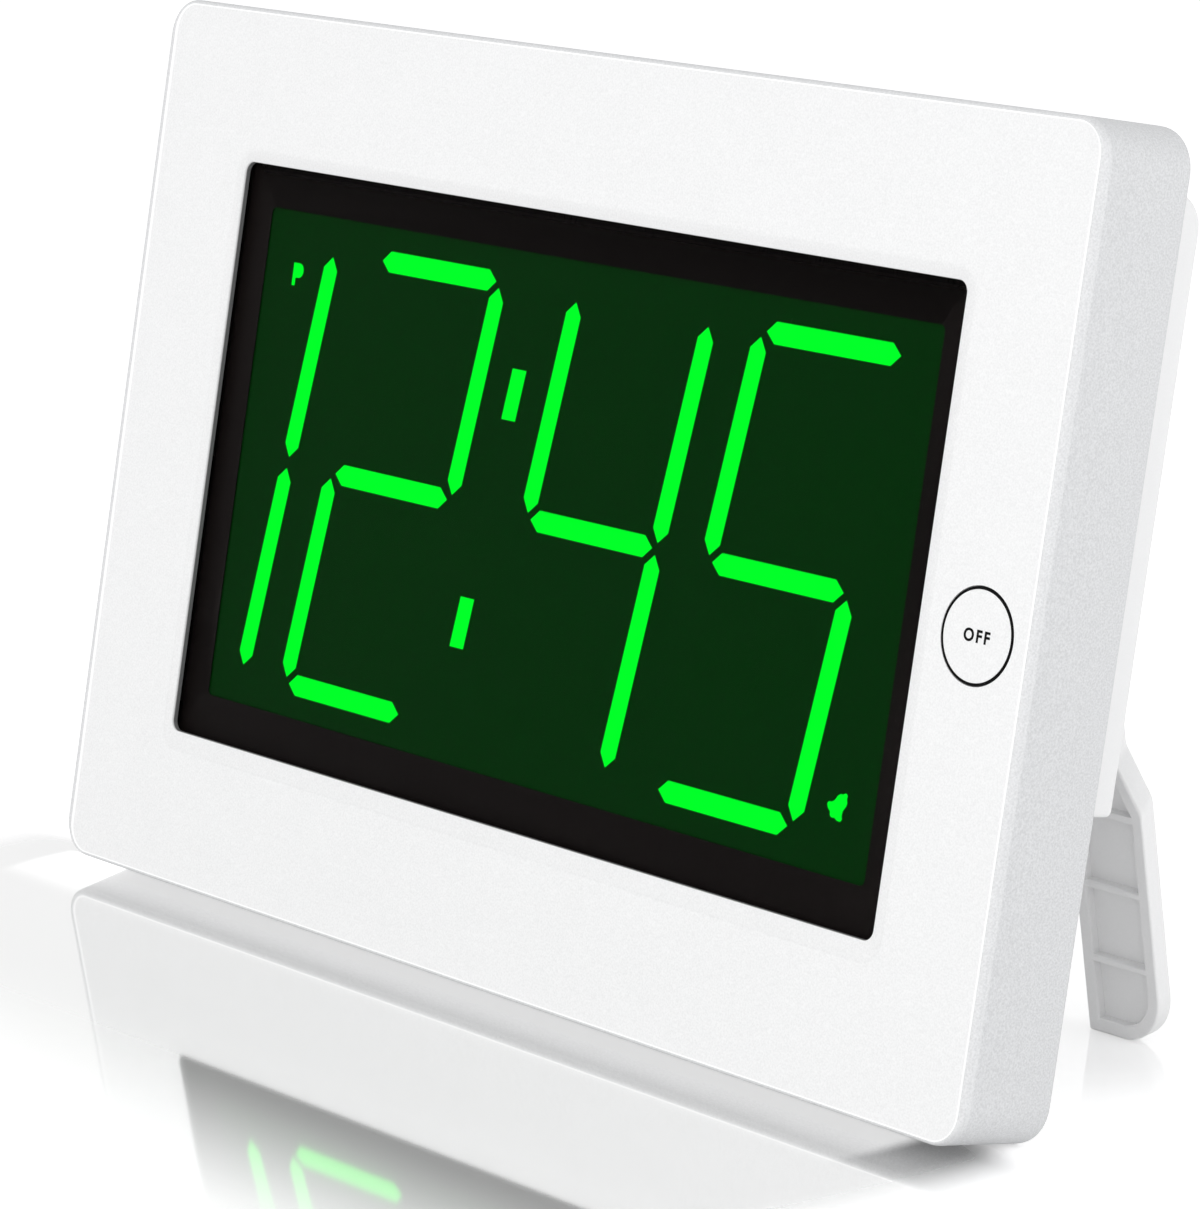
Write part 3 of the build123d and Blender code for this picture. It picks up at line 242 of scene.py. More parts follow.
class SurfaceGraph(NodeGraph):
    """Node tree of a surface whose patterns lie on the piece's own coordinates."""

    def __init__(self, name: str) -> None:
        """Starts a new material of that name."""
        self.material = bpy.data.materials.new(name)
        self.material.use_nodes = True
        super().__init__(self.material.node_tree)
        self.place = self.out("ShaderNodeTexCoord", number="Object")

    def noise(self, size: float) -> Socket:
        """Noise whose spots are about size millimetres wide."""
        return self.out("ShaderNodeTexNoise", {"Vector": self.place, "Scale": 1 / (size * MM)})

    def span(self, value: Socket, low: float, high: float) -> Socket:
        """Maps the middle of a noise to a range."""
        return self.out("ShaderNodeMapRange", {"Value": value, "From Min": NOISE_LOW, "From Max": NOISE_HIGH,
                                               "To Min": low, "To Max": high})

    def blend(self, factor: Any, first: Any, second: Any) -> Socket:
        """Colour between two colours."""
        inputs = {0: factor, MIX_FIRST: with_alpha(first), MIX_SECOND: with_alpha(second)}
        return self.out("ShaderNodeMix", inputs, MIX_RESULT, data_type="RGBA")

    def mottled(self, noise: Socket, colour: Colour, mottle: float) -> Socket:
        """Colour that a noise makes darker and lighter by a share."""
        return self.blend(self.span(noise, 0.0, 1.0), scaled(colour, 1 - mottle), scaled(colour, 1 + mottle))

    def attribute(self, tone: Tone) -> Socket:
        """Value of a mesh attribute, zero where the mesh has none."""
        return self.out("ShaderNodeAttribute", number="Fac", attribute_name=tone.value)

    def relief(self, height: Socket, depth: float, strength: float) -> Socket:
        """Normal of a relief that is depth millimetres deep."""
        return self.out("ShaderNodeBump", {"Height": height, "Distance": depth * MM, "Strength": strength})

    def finish(self, inputs: Inputs) -> Material:
        """Ends the tree in a Principled shader.

        Args:
            inputs: Values or sockets of the shader.

        Returns:
            The material.
        """
        self.add("ShaderNodeOutputMaterial", {"Surface": self.out("ShaderNodeBsdfPrincipled", inputs)})
        return self.material


def with_alpha(colour: Any) -> Any:
    """Adds an alpha to a plain colour and leaves a socket alone."""
    return (*colour, 1.0) if isinstance(colour, tuple) else colour


def scaled(colour: Colour, share: float) -> Colour:
    """Colour made lighter or darker, no lighter than white."""
    return tuple(min(1.0, channel * share) for channel in colour)


@dataclass(frozen=True)
class MouldedPlastic:
    """Injection-moulded plastic with a fine spark-eroded grain, and with painted highlight and painted shade
    where the mesh's tones ask for them.
    """

    name: str
    colour: Colour
    grain: float = 0.34
    mottle: float = 0.052
    patch: float = 40.0
    relief: float = 0.03
    bump: float = 0.5
    roughness: float = 0.5
    spread: float = 0.06
    # colour of the painted shade; then colour, size and mottle of the coarser grain, made darker to paint the
    # sides' shade
    painted_shade_colour: Colour = (0.11, 0.11, 0.113)
    shaded_coarse_colour: Colour = (0.645, 0.65, 0.66)
    coarse_shaded_grain: float = 0.34
    coarse_mottle: float = 0.11
    gloss: float = 0.4

    def make(self) -> Material:
        """Builds the material."""
        graph = SurfaceGraph(self.name)
        fine, broad = graph.noise(self.grain), graph.noise(self.patch * self.grain)
        tone = graph.mottled(fine, self.colour, self.mottle)
        tone = graph.blend(graph.span(broad, 0.0, self.mottle), tone, WHITE)
        # coarser, darker grain: partly the sides' own texture, partly painted side shade
        shaded_speckle = graph.mottled(graph.noise(self.coarse_shaded_grain), self.shaded_coarse_colour, self.coarse_mottle)
        tone = graph.blend(graph.attribute(Tone.COARSE), tone, shaded_speckle)
        # painted highlight, then painted shade
        tone = graph.blend(graph.attribute(Tone.LIGHT), tone, WHITE)
        tone = graph.blend(graph.attribute(Tone.PAINTED_SHADE_AND_BAND), tone, self.painted_shade_colour)
        return graph.finish({
            "Base Color": tone,
            "Roughness": graph.span(fine, self.roughness - self.spread, self.roughness + self.spread),
            "Normal": graph.relief(fine, self.relief, self.bump),
            "Specular IOR Level": self.gloss,
        })


@dataclass(frozen=True)
class PrintedInk:
    """Dense screen print, a little uneven."""

    name: str
    colour: Colour
    gloss: float = 0.03
    grain: float = 0.4
    mottle: float = 0.06
    smoothest: float = 0.4
    roughest: float = 0.5

    def make(self) -> Material:
        """Builds the material."""
        graph = SurfaceGraph(self.name)
        fine = graph.noise(self.grain)
        return graph.finish({
            "Base Color": graph.mottled(fine, self.colour, self.mottle),
            "Roughness": graph.span(fine, self.smoothest, self.roughest),
            "Specular IOR Level": self.gloss,
        })


@dataclass(frozen=True)
class ClearLens:
    """Clear acrylic with a hard coat: almost all of it lets light through."""

    name: str
    cover: float = 0.01
    patch: float = 9.0
    darkest: Colour = (0.01, 0.01, 0.01)
    lightest: Colour = (0.014, 0.014, 0.014)
    smoothest: float = 0.05
    roughest: float = 0.08

    def make(self) -> Material:
        """Builds the material."""
        graph = SurfaceGraph(self.name)
        haze = graph.noise(self.patch)
        return graph.finish({
            "Base Color": graph.blend(graph.span(haze, 0.0, 1.0), self.darkest, self.lightest),
            "Roughness": graph.span(haze, self.smoothest, self.roughest),
            "Alpha": self.cover,
        })


@dataclass(frozen=True)
class LitSegment:
    """Light that comes through the clear segments of the display."""

    name: str
    colour: Colour
    strength: float
    patch: float = 30.0
    uneven: float = 0.03

    def make(self) -> Material:
        """Builds the material."""
        graph = SurfaceGraph(self.name)
        weakest, strongest = ((1 + way * self.uneven) * self.strength for way in (-1, 1))
        return graph.finish({
            "Base Color": with_alpha(BLACK),
            "Specular IOR Level": 0.0,
            "Emission Color": with_alpha(self.colour),
            "Emission Strength": graph.span(graph.noise(self.patch), weakest, strongest),
        })


@dataclass(frozen=True)
class CircuitBoard:
    """Solder mask over copper, which shows as slightly lighter paths."""

    name: str
    mask: Colour
    copper: Colour
    pitch: float = 2.2
    path_width: float = 0.06
    patch: float = 9.0
    patch_share: float = 0.8
    grain: float = 0.5
    smoothest: float = 0.3
    roughest: float = 0.4
    relief: float = 0.03
    bump: float = 0.4

    def make(self) -> Material:
        """Builds the material."""
        graph = SurfaceGraph(self.name)
        white, black = with_alpha(WHITE), with_alpha(BLACK)
        paths = graph.out("ShaderNodeTexBrick", {
            "Vector": graph.place, "Scale": 1 / (self.pitch * MM), "Mortar Size": self.path_width,
            "Color1": white, "Color2": white, "Mortar": black}, 1)
        patches = graph.span(graph.noise(self.patch), 0.0, self.patch_share)
        return graph.finish({
            "Base Color": graph.blend(graph.math("MULTIPLY", paths, patches), self.mask, self.copper),
            "Roughness": graph.span(graph.noise(self.grain), self.smoothest, self.roughest),
            "Normal": graph.relief(paths, self.relief, self.bump),
        })


@dataclass(frozen=True)
class PlatedMetal:
    """Plated metal with fine drawing marks."""

    name: str
    colour: Colour
    roughness: float = 0.3
    smoother: float = 0.05
    rougher: float = 0.08
    grain: float = 0.25
    dull: float = 0.9
    relief: float = 0.01
    bump: float = 0.3

    def make(self) -> Material:
        """Builds the material."""
        graph = SurfaceGraph(self.name)
        marks = graph.noise(self.grain)
        tone = graph.blend(graph.span(marks, 0.0, 1.0), scaled(self.colour, self.dull), self.colour)
        return graph.finish({
            "Base Color": tone,
            "Metallic": 1.0,
            "Roughness": graph.span(marks, self.roughness - self.smoother, self.roughness + self.rougher),
            "Normal": graph.relief(marks, self.relief, self.bump),
        })


@dataclass(frozen=True)
class StripedRubber:
    """Layers of carbon-filled and plain rubber along the width."""

    name: str
    pitch: float
    plain: Colour
    filled: Colour
    grain: float = 0.5
    smoothest: float = 0.6
    roughest: float = 0.75

    def make(self) -> Material:
        """Builds the material."""
        graph = SurfaceGraph(self.name)
        stripes = graph.out("ShaderNodeTexWave", {
            "Vector": graph.place, "Scale": math.tau / (WAVE_RADIANS * self.pitch * MM), "Distortion": 0.0,
        }, 1, bands_direction="X")
        return graph.finish({
            "Base Color": graph.blend(stripes, self.plain, self.filled),
            "Roughness": graph.span(graph.noise(self.grain), self.smoothest, self.roughest),
        })


@dataclass(frozen=True)
class CellWrap:
    """Printed film round a cell, with a band of another colour at one end."""

    name: str
    body: Colour
    band: Colour
    patch: float = 3.0
    smoothest: float = 0.22
    roughest: float = 0.34
    relief: float = 0.02
    bump: float = 0.3

    def make(self) -> Material:
        """Builds the material."""
        graph = SurfaceGraph(self.name)
        creases = graph.noise(self.patch)
        return graph.finish({
            # the cells' printed band, in the attribute that holds painted shade on the plastic
            "Base Color": graph.blend(graph.attribute(Tone.PAINTED_SHADE_AND_BAND), self.body, self.band),
            "Roughness": graph.span(creases, self.smoothest, self.roughest),
            "Normal": graph.relief(creases, self.relief, self.bump),
        })


class Finish(Enum):
    """Finishes of the clock's pieces."""

    CASE_WHITE = MouldedPlastic("case white", (0.847, 0.847, 0.848))
    REAR_WHITE = MouldedPlastic("rear white", (0.85, 0.85, 0.853), grain=0.4, mottle=0.012, relief=0.015)
    KEY_GREY = MouldedPlastic("key grey", (0.42, 0.43, 0.44), grain=0.4, mottle=0.03, relief=0.02)
    HOLDER = MouldedPlastic("holder ivory", (0.78, 0.76, 0.7), grain=0.8)
    CHIP = MouldedPlastic("chip epoxy", (0.02, 0.02, 0.021), grain=0.3, mottle=0.12)
    BUZZER = MouldedPlastic("sounder black", (0.03, 0.03, 0.032), grain=0.5, mottle=0.1)
    GUIDE = MouldedPlastic("guide frosted", (0.75, 0.8, 0.78), grain=0.9, roughness=0.25)
    LAMP = MouldedPlastic("lamp milky", (0.85, 0.82, 0.6), grain=0.3, roughness=0.3)
    FILM = MouldedPlastic("film white", (0.88, 0.88, 0.86), grain=1.5, roughness=0.35)
    BORDER = PrintedInk("border print", (0.006, 0.0044, 0.0042))
    MARK = PrintedInk("mark print", (0.003, 0.003, 0.0032), gloss=0.05)
    GLASS = PrintedInk("display glass", (0.0006, 0.0225, 0.0018), gloss=0.01)
    LENS = ClearLens("lens clear")
    LIT = LitSegment("segment light", (0.0, 1.0, 0.0194), 1.06)
    BOARD = CircuitBoard("board mask", (0.02, 0.11, 0.045), (0.06, 0.24, 0.09))
    STEEL = PlatedMetal("steel plated", (0.62, 0.62, 0.63))
    BRASS = PlatedMetal("contact nickel", (0.66, 0.62, 0.52), roughness=0.25)
    RUBBER = StripedRubber("strip rubber", 0.4, (0.45, 0.25, 0.27), (0.02, 0.02, 0.02))
    CELL = CellWrap("cell film", (0.05, 0.055, 0.06), (0.55, 0.3, 0.08))

    def material(self) -> Material:
        """Material of this finish, built once."""
        return bpy.data.materials.get(self.value.name) or self.value.make()


def linked(name: str, data: Any) -> Object:
    """New object of some data, in the scene."""
    item = bpy.data.objects.new(name, data)
    bpy.context.scene.collection.objects.link(item)
    return item


def look(item: Object, place: Vector, aim: Vector) -> None:
    """Puts a lamp or a camera at a place and turns it to a point."""
    item.location = place
    item.rotation_mode = "QUATERNION"
    item.rotation_quaternion = (aim - place).to_track_quat("-Z", "Y")


def add_piece(name: str, mesh: Mesh, finishes: Sequence[Finish], body: Body, slot: Slot,
              replaced: Sequence[str] = ()) -> Object:
    """Puts a finished mesh in the scene on its body.

    Args:
        name: Name of the piece.
        mesh: Mesh in the frame, in metres.
        finishes: Finishes in the order of the mesh's material numbers.
        body: Body that the piece rides on.
        slot: Material slot of the record; not used.
        replaced: CAD nodes that the piece stands for.

    Returns:
        The object.
    """
    mesh.materials.clear()
    for finish in finishes:
        mesh.materials.append(finish.material())
    piece = linked(name, mesh)
    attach(piece, body.value)
    if replaced:
        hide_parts(*replaced)
    LOG.info("%s: %d faces on %s", name, len(mesh.polygons), body.value)
    return piece


def dress_node(node: str, finish: Finish) -> None:
    """Gives a CAD node that stays its finish.

    Args:
        node: Name of the CAD node.
        finish: Finish for all of it.
    """
    frame["nodes"][node].material_slots[0].material = finish.material()
    LOG.info("%s: CAD node in %s", node, finish.name)


def smooth(mesh: Mesh) -> None:
    """Shades a mesh smooth, with sharp edges where it bends most."""
    mesh.shade_smooth()
    mesh.set_sharp_from_angle(angle=SHARP_ANGLE)


def weigh_normals(piece: Object) -> None:
    """Lets large flat faces set the shading beside small ones."""
    weighted = piece.modifiers.new("weighted_normals", "WEIGHTED_NORMAL")
    weighted.keep_sharp = True


@dataclass(frozen=True)
class Refined:
    """Copy of a CAD node with its loose triangles merged and its outer edges softened."""

    node: str
    name: str
    finish: Finish
    body: Body
    slot: Slot
    soft: float = 0.25
    behind: float = -math.inf
    sharpest: float = 25.0
    kept: str = ""
    kept_margin: float = 3.0
    flat: float = 0.5
    steps: int = 3

    def build(self, pose: ClockPose) -> Object:
        """Makes the piece.

        Args:
            pose: Pose of the clock.

        Returns:
            The object that replaces the CAD node.
        """
        work = bmesh.new()
        work.from_mesh(frame["nodes"][self.node].data)
        bmesh.ops.remove_doubles(work, verts=work.verts, dist=MERGE_DISTANCE)
        limit = math.radians(self.flat)
        bmesh.ops.dissolve_limit(work, angle_limit=limit, verts=work.verts, edges=work.edges)
        bevel = work.edges.layers.float.new("bevel_weight_edge")
        to_clock = pose.matrix.inverted()
        for edge in work.edges:
            middle = to_clock @ ((edge.verts[0].co + edge.verts[1].co) / 2)
            bend = math.degrees(edge.calc_face_angle(0.0))
            outer = edge.is_convex and bend > self.sharpest and middle.y > self.behind
            edge[bevel] = float(outer and not self.keeps(middle, pose))
        mesh = bpy.data.meshes.new(self.name)
        work.to_mesh(mesh)
        work.free()
        custom = mesh.attributes.get("custom_normal")
        if custom:
            mesh.attributes.remove(custom)
        smooth(mesh)
        piece = add_piece(self.name, mesh, [self.finish], self.body, self.slot, [self.node])
        softening = piece.modifiers.new("softening", "BEVEL")
        softening.limit_method = "WEIGHT"
        softening.width = self.soft * MM
        softening.segments = self.steps
        softening.use_clamp_overlap = False
        softening.miter_outer = "MITER_ARC"
        weigh_normals(piece)
        return piece

    def keeps(self, point: Vector, pose: ClockPose) -> bool:
        """Tells whether a point lies over the node whose openings keep their sharp edges."""
        if not self.kept:
            return False
        low, high = pose.box(self.kept)
        margin = self.kept_margin
        return all(low[axis] - margin < point[axis] < high[axis] + margin for axis in (0, 2))


def rounded_outline(width: float, height: float, radius: float, x: float = 0.0, z: float = 0.0,
                    steps: int = 12) -> list[Point2]:
    """Points of a rectangle with rounded corners.

    Args:
        width: Full width.
        height: Full height.
        radius: Radius of the corners.
        x: Middle along the width.
        z: Middle along the height.
        steps: Straight steps in each corner.

    Returns:
        The points, counter-clockwise.
    """
    points = []
    for quarter, (i, k) in enumerate(((1, -1), (1, 1), (-1, 1), (-1, -1))):
        for turn in turns(90 * (quarter - 1), 90 * quarter, steps):
            points.append((x + i * (width / 2 - radius) + radius * math.cos(turn),
                           z + k * (height / 2 - radius) + radius * math.sin(turn)))
    return points


def turns(start: float, end: float, steps: int) -> list[float]:
    """Even angles from start to end, given in degrees and returned in radians."""
    return [math.radians(start + (end - start) * step / steps) for step in range(steps + 1)]


def circle_outline(radius: float, x: float, z: float, steps: int = 72, start: float = 0.0) -> list[Point2]:
    """Points of a circle, counter-clockwise from a start in degrees."""
    around = turns(start, start + 360, steps)[:-1]
    return [(x + radius * math.cos(turn), z + radius * math.sin(turn)) for turn in around]


def square_outline(size: float, x: float, z: float, steps: int) -> list[Point2]:
    """Points of a square at even angles, to be joined to a circle with as many points."""
    ways = [(math.cos(turn), math.sin(turn)) for turn in turns(0, 360, steps)[:-1]]
    reach = [size / 2 / max(abs(i), abs(k)) for i, k in ways]
    return [(x + r * i, z + r * k) for r, (i, k) in zip(reach, ways)]


def soft_corner(before: Point2, corner: Point2, after: Point2, steps: int = 4) -> list[Point2]:
    """Rounds a profile's corner with a short curve from before to after."""
    curve = []
    for step in range(steps + 1):
        t = step / steps
        weights = ((1 - t) ** 2, 2 * t * (1 - t), t ** 2)
        curve.append(tuple(sum(w * p[axis] for w, p in zip(weights, (before, corner, after)))
                           for axis in (0, 1)))
    return curve


class LoopMesh:
    """Mesh drawn as closed outlines that are joined by bands and flat faces."""

    def __init__(self) -> None:
        """Starts an empty mesh with the tone attributes."""
        self.work = bmesh.new()
        self.layers = {tone: self.work.verts.layers.float.new(tone.value) for tone in Tone}

    def ring(self, points: Iterable[Point3], tones: dict[Tone, float] | None = None) -> Ring:
        """Adds an outline.

        Args:
            points: Points in the clock's axes.
            tones: Tone attributes along the outline, zero where none is given.

        Returns:
            The new vertices in order.
        """
        verts = [self.work.verts.new(point) for point in points]
        for tone, value in (tones or {}).items():
            for vert in verts:
                vert[self.layers[tone]] = value
        return verts

    def band(self, first: Ring, second: Ring, number: int = 0) -> None:
        """Joins two outlines that have as many points.

        Args:
            first: One outline.
            second: The other outline.
            number: Material number of the band.
        """
        for i in range(len(first)):
            j = (i + 1) % len(first)
            face = self.work.faces.new((first[i], first[j], second[j], second[i]))
            face.material_index = number

    def bands(self, rings: Sequence[Ring]) -> None:
        """Joins each outline to the next."""
        for first, second in zip(rings, rings[1:]):
            self.band(first, second)

    def flat(self, *rings: Ring, number: int = 0) -> None:
        """Fills the flat face between an outline and the holes in it.

        Args:
            rings: The outline and the holes.
            number: Material number of the face.
        """
        edges = []
        for ring in rings:
            for i, vert in enumerate(ring):
                pair = (vert, ring[(i + 1) % len(ring)])
                edges.append(self.work.edges.get(pair) or self.work.edges.new(pair))
        filled = bmesh.ops.triangle_fill(self.work, use_beauty=True, edges=edges)["geom"]
        for face in filled:
            if isinstance(face, bmesh.types.BMFace):
                face.material_index = number

    def prism(self, outline: Sequence[Point2], front: float, back: float) -> None:
        """Adds a closed plate of that outline between two depths."""
        rings = [self.ring(at_depth(outline, depth)) for depth in (front, back)]
        self.bands(rings)
        for ring in rings:
            self.flat(ring)

    def tube(self, outer: Sequence[Point2], inner: Sequence[Point2], front: float, back: float) -> None:
        """Adds a closed wall between two outlines with as many points, from one depth to another."""
        rings = [self.ring(at_depth(outline, depth)) for outline, depth in (
            (outer, front), (outer, back), (inner, back), (inner, front))]
        self.bands([*rings, rings[0]])

    def mesh(self, name: str, pose: ClockPose) -> Mesh:
        """Ends the drawing.

        Args:
            name: Name of the mesh.
            pose: Pose of the clock.

        Returns:
            The mesh in the frame, smooth where its faces meet at small angles.
        """
        bmesh.ops.transform(self.work, matrix=pose.matrix, verts=self.work.verts)
        bmesh.ops.recalc_face_normals(self.work, faces=self.work.faces)
        mesh = bpy.data.meshes.new(name)
        self.work.to_mesh(mesh)
        self.work.free()
        smooth(mesh)
        return mesh


def at_depth(outline: Iterable[Point2], depth: float) -> list[Point3]:
    """Points of a front-view outline at a depth behind the front face."""
    return [(x, depth, z) for x, z in outline]


@dataclass
class FrontShell:
    """Front shell: round-edged face, window with its lip, button hole, walls and the posts behind, with a
    painted highlight along the face's edge, painted shade on the lip and in the window's recess, and darker
    coarse grain as painted side shade.
    """

    pose: ClockPose
    corner: float = 7.3
    draft: float = 0.25
    edge_width: float = 1.65
    edge_depth: float = 1.65
    edge_shift: float = 0.6
    edge_steps: int = 9
    # steps of the rounded edge that take a painted highlight
    painted_highlight_steps: tuple[int, ...] = (1, 2)
    top_share: float = 0.45
    # width and softness of a painted highlight band on the flat face along its rim
    highlight_width: float = 0.5
    highlight_soft: float = 0.06
    back_round: float = 0.6
    wall: float = 2.2
    window_corner: float = 2.0
    lip_width: float = 2.3
    lip_depth: float = 0.25
    lip_soft: float = 0.15
    lip_line: float = 0.35
    lip_below: float = 1.2
    # painted shade on the lip: a line round its outer edge, a little beside and below the window, most along
    # its top
    line_shade: float = 0.05
    side_shade: float = 0.03
    top_shade: float = 0.092
    top_shares: tuple[float, ...] = (0.2, 0.5, 1.0)
    top_falloff: int = 8
    left_soft: float = 0.5
    ledge: float = 3.0
    lens_gap: float = 0.1
    button_gap: float = 0.15
    hole_soft: float = 0.12
    # painted shade of the window's recess; painted highlight of the edge's steps; share of the coarse grain's
    # painted side shade left where the edge meets the face
    recess_shade: float = 0.93
    edge_painted_highlight: float = 0.12
    edge_coarse_and_shade: float = 0.65
    post_size: float = 6.0
    post_sides: int = 24
    bore_radius: float = 1.33
    cover_seat: float = 1.2
    holder_seat: float = 2.5

    def __post_init__(self) -> None:
        """Reads the sizes that the frame gives."""
        low, high = self.pose.box("front_bezel")
        self.width, self.depth, self.height = high - low
        self.lens_low, self.lens_high = self.pose.box("display_lens")
        self.front_wall = self.pose.box("lens_border")[1].y
        self.ring_low, self.ring_high = self.pose.box("stop_ring")

    def outline(self, inset: float) -> list[Point2]:
        """Outer outline, drawn in by inset, most on the left and least at the top and bottom."""
        shift = self.edge_shift * inset / (self.draft + self.edge_width)
        return rounded_outline(self.width - 2 * inset, self.height - 2 * inset * self.top_share,
                               self.corner - inset, shift)

    def window(self, grow: float, left: float = 0.0, below: float = 0.0) -> list[Point2]:
        """Outline of the window, drawn out by grow, and by some more on the left and below."""
        size, middle = self.lens_high - self.lens_low, (self.lens_high + self.lens_low) / 2
        spread = 2 * (grow - self.ledge)
        return rounded_outline(size.x + spread + left, size.z + spread + below, self.window_corner + grow,
                               middle.x - left / 2, middle.z - below / 2)

    def hole(self, grow: float) -> list[Point2]:
        """Outline of the button hole, drawn out by grow."""
        middle = (self.ring_high + self.ring_low) / 2
        radius = (self.ring_high.x - self.ring_low.x) / 2 + self.button_gap + grow
        return circle_outline(radius, middle.x, middle.z)

    def outside(self) -> list[tuple[float, float, dict[Tone, float]]]:
        """Profile of the outside from the back rim to the face, with the coarse grain and painted side shade
        on the sides and a painted highlight along the face's edge.

        Returns:
            Inset, depth and tones of each outline.
        """
        back = soft_corner((self.back_round, self.depth), (0, self.depth), (0, self.depth - self.back_round))
        # the back rim and the sides take the coarse grain, darker as painted side shade
        profile = [(inset, y, {Tone.COARSE: 1.0}) for inset, y in back]
        for step, turn in enumerate(turns(0, 90, self.edge_steps)):
            inset = self.draft + self.edge_width * (1 - math.cos(turn))
            # the coarse grain's painted side shade fades over the rounded edge, and two of its steps take a
            # painted highlight
            tones = {Tone.COARSE: 1 - (1 - self.edge_coarse_and_shade) * step / self.edge_steps,
                     Tone.LIGHT: self.edge_painted_highlight if step in self.painted_highlight_steps else 0.0}
            profile.append((inset, self.edge_depth * (1 - math.sin(turn)), tones))
        # painted highlight band on the flat face along its rim; the shape has no ridge there
        highlight_start = self.draft + self.edge_width + self.highlight_soft
        profile += [(highlight_start, 0.0, {Tone.LIGHT: 1.0}), (highlight_start + self.highlight_width, 0.0, {Tone.LIGHT: 1.0}),
                    (highlight_start + self.highlight_width + self.highlight_soft, 0.0, {})]
        return profile

    def build(self) -> None:
        """Makes the shell as one closed wall, and its posts."""
        drawing = LoopMesh()
        skin = [drawing.ring(at_depth(self.outline(inset), y), tones) for inset, y, tones in self.outside()]
        recess = self.lip(drawing)
        lens_front, rebate = self.lens_low.y, self.ledge + self.lens_gap
        # the recess wall, the ledge and the rebate behind the lens take painted shade
        for grow, y in ((0.0, lens_front), (rebate, lens_front), (rebate, self.front_wall)):
            recess.append(drawing.ring(at_depth(self.window(grow), y), {Tone.PAINTED_SHADE_AND_BAND: self.recess_shade}))
        rim = soft_corner((self.hole_soft, 0.0), (0.0, 0.0), (0.0, self.hole_soft))
        hole = [drawing.ring(at_depth(self.hole(grow), y)) for grow, y in (*rim, (0.0, self.front_wall))]
        inner = rounded_outline(self.width - 2 * self.wall, self.height - 2 * self.wall,
                                self.corner - self.wall)
        inside = [drawing.ring(at_depth(inner, y)) for y in (self.front_wall, self.depth)]
        for rings in (skin, recess, hole, [*inside, skin[0]]):
            drawing.bands(rings)
        drawing.flat(skin[-1], recess[0], hole[0])
        drawing.flat(inside[0], recess[-1], hole[-1])
        bmesh.ops.remove_doubles(drawing.work, verts=drawing.work.verts, dist=MERGE_DISTANCE)
        piece = add_piece("front_shell", drawing.mesh("front_shell", self.pose), [Finish.CASE_WHITE],
                          Body.CASE, Slot.WHITE, ["front_bezel"])
        weigh_normals(piece)
        self.posts()

    def lip(self, drawing: LoopMesh) -> list[Ring]:
        """Draws the shallow lip that falls to the window, with its soft edge, and paints shade on it.

        Args:
            drawing: Mesh that the lip belongs to.

        Returns:
            Its outlines from the face inwards.
        """
        crease = self.lip_depth * self.lip_line / self.lip_width
        lip_end = self.lip_depth + self.lip_soft
        edge = soft_corner((self.lip_soft, self.lip_depth), (0, self.lip_depth), (0, lip_end))
        rings = [drawing.ring(at_depth(self.window(self.lip_width + grow, 0.0, self.lip_below), y))
                 for grow, y in ((self.lip_line, 0.0), (0.0, 0.0), (-self.lip_line, crease))]
        # painted shade rises over the soft edge to the recess's
        for step, (grow, y) in enumerate(edge):
            shade = {Tone.PAINTED_SHADE_AND_BAND: self.recess_shade * step / (len(edge) - 1)}
            left = self.left_soft * grow / self.lip_soft
            rings.append(drawing.ring(at_depth(self.window(grow, left), y), shade))
        # painted shade on the lip: a line round its outer edge, a little beside and below the window, most
        # along its top
        shade_layer = drawing.layers[Tone.PAINTED_SHADE_AND_BAND]
        side_shades = (self.line_shade, self.side_shade, self.side_shade)
        for ring, side, share in zip(rings[1:], side_shades, self.top_shares):
            for vert in ring:
                above = self.above_window(vert.co.z)
                vert[shade_layer] = side * (1 - above) + share * self.top_shade * above
        return rings

    def above_window(self, height: float) -> float:
        """Share of the top's painted shade, from zero beside and below the window to one along its top."""
        middle, half = (self.lens_high.z + self.lens_low.z) / 2, (self.lens_high.z - self.lens_low.z) / 2
        return min(1.0, max(0.0, (height - middle) / (half - self.ledge))) ** self.top_falloff

    def posts(self) -> None:
        """Makes the bored posts that the screws hold in."""
        drawing = LoopMesh()
        for node, seat in (("case_screws", self.cover_seat), ("holder_screws", self.holder_seat)):
            for points in self.pose.solids(node):
                low, high = corners_of(points)
                x, z = middle_of(low, high)
                end = high.y - seat - Screws.head_height
                outer = square_outline(self.post_size, x, z, self.post_sides)
                bore = circle_outline(self.bore_radius, x, z, self.post_sides)
                drawing.tube(outer, bore, self.front_wall, end)
        add_piece("front_posts", drawing.mesh("front_posts", self.pose), [Finish.CASE_WHITE], Body.CASE,
                  Slot.WHITE)


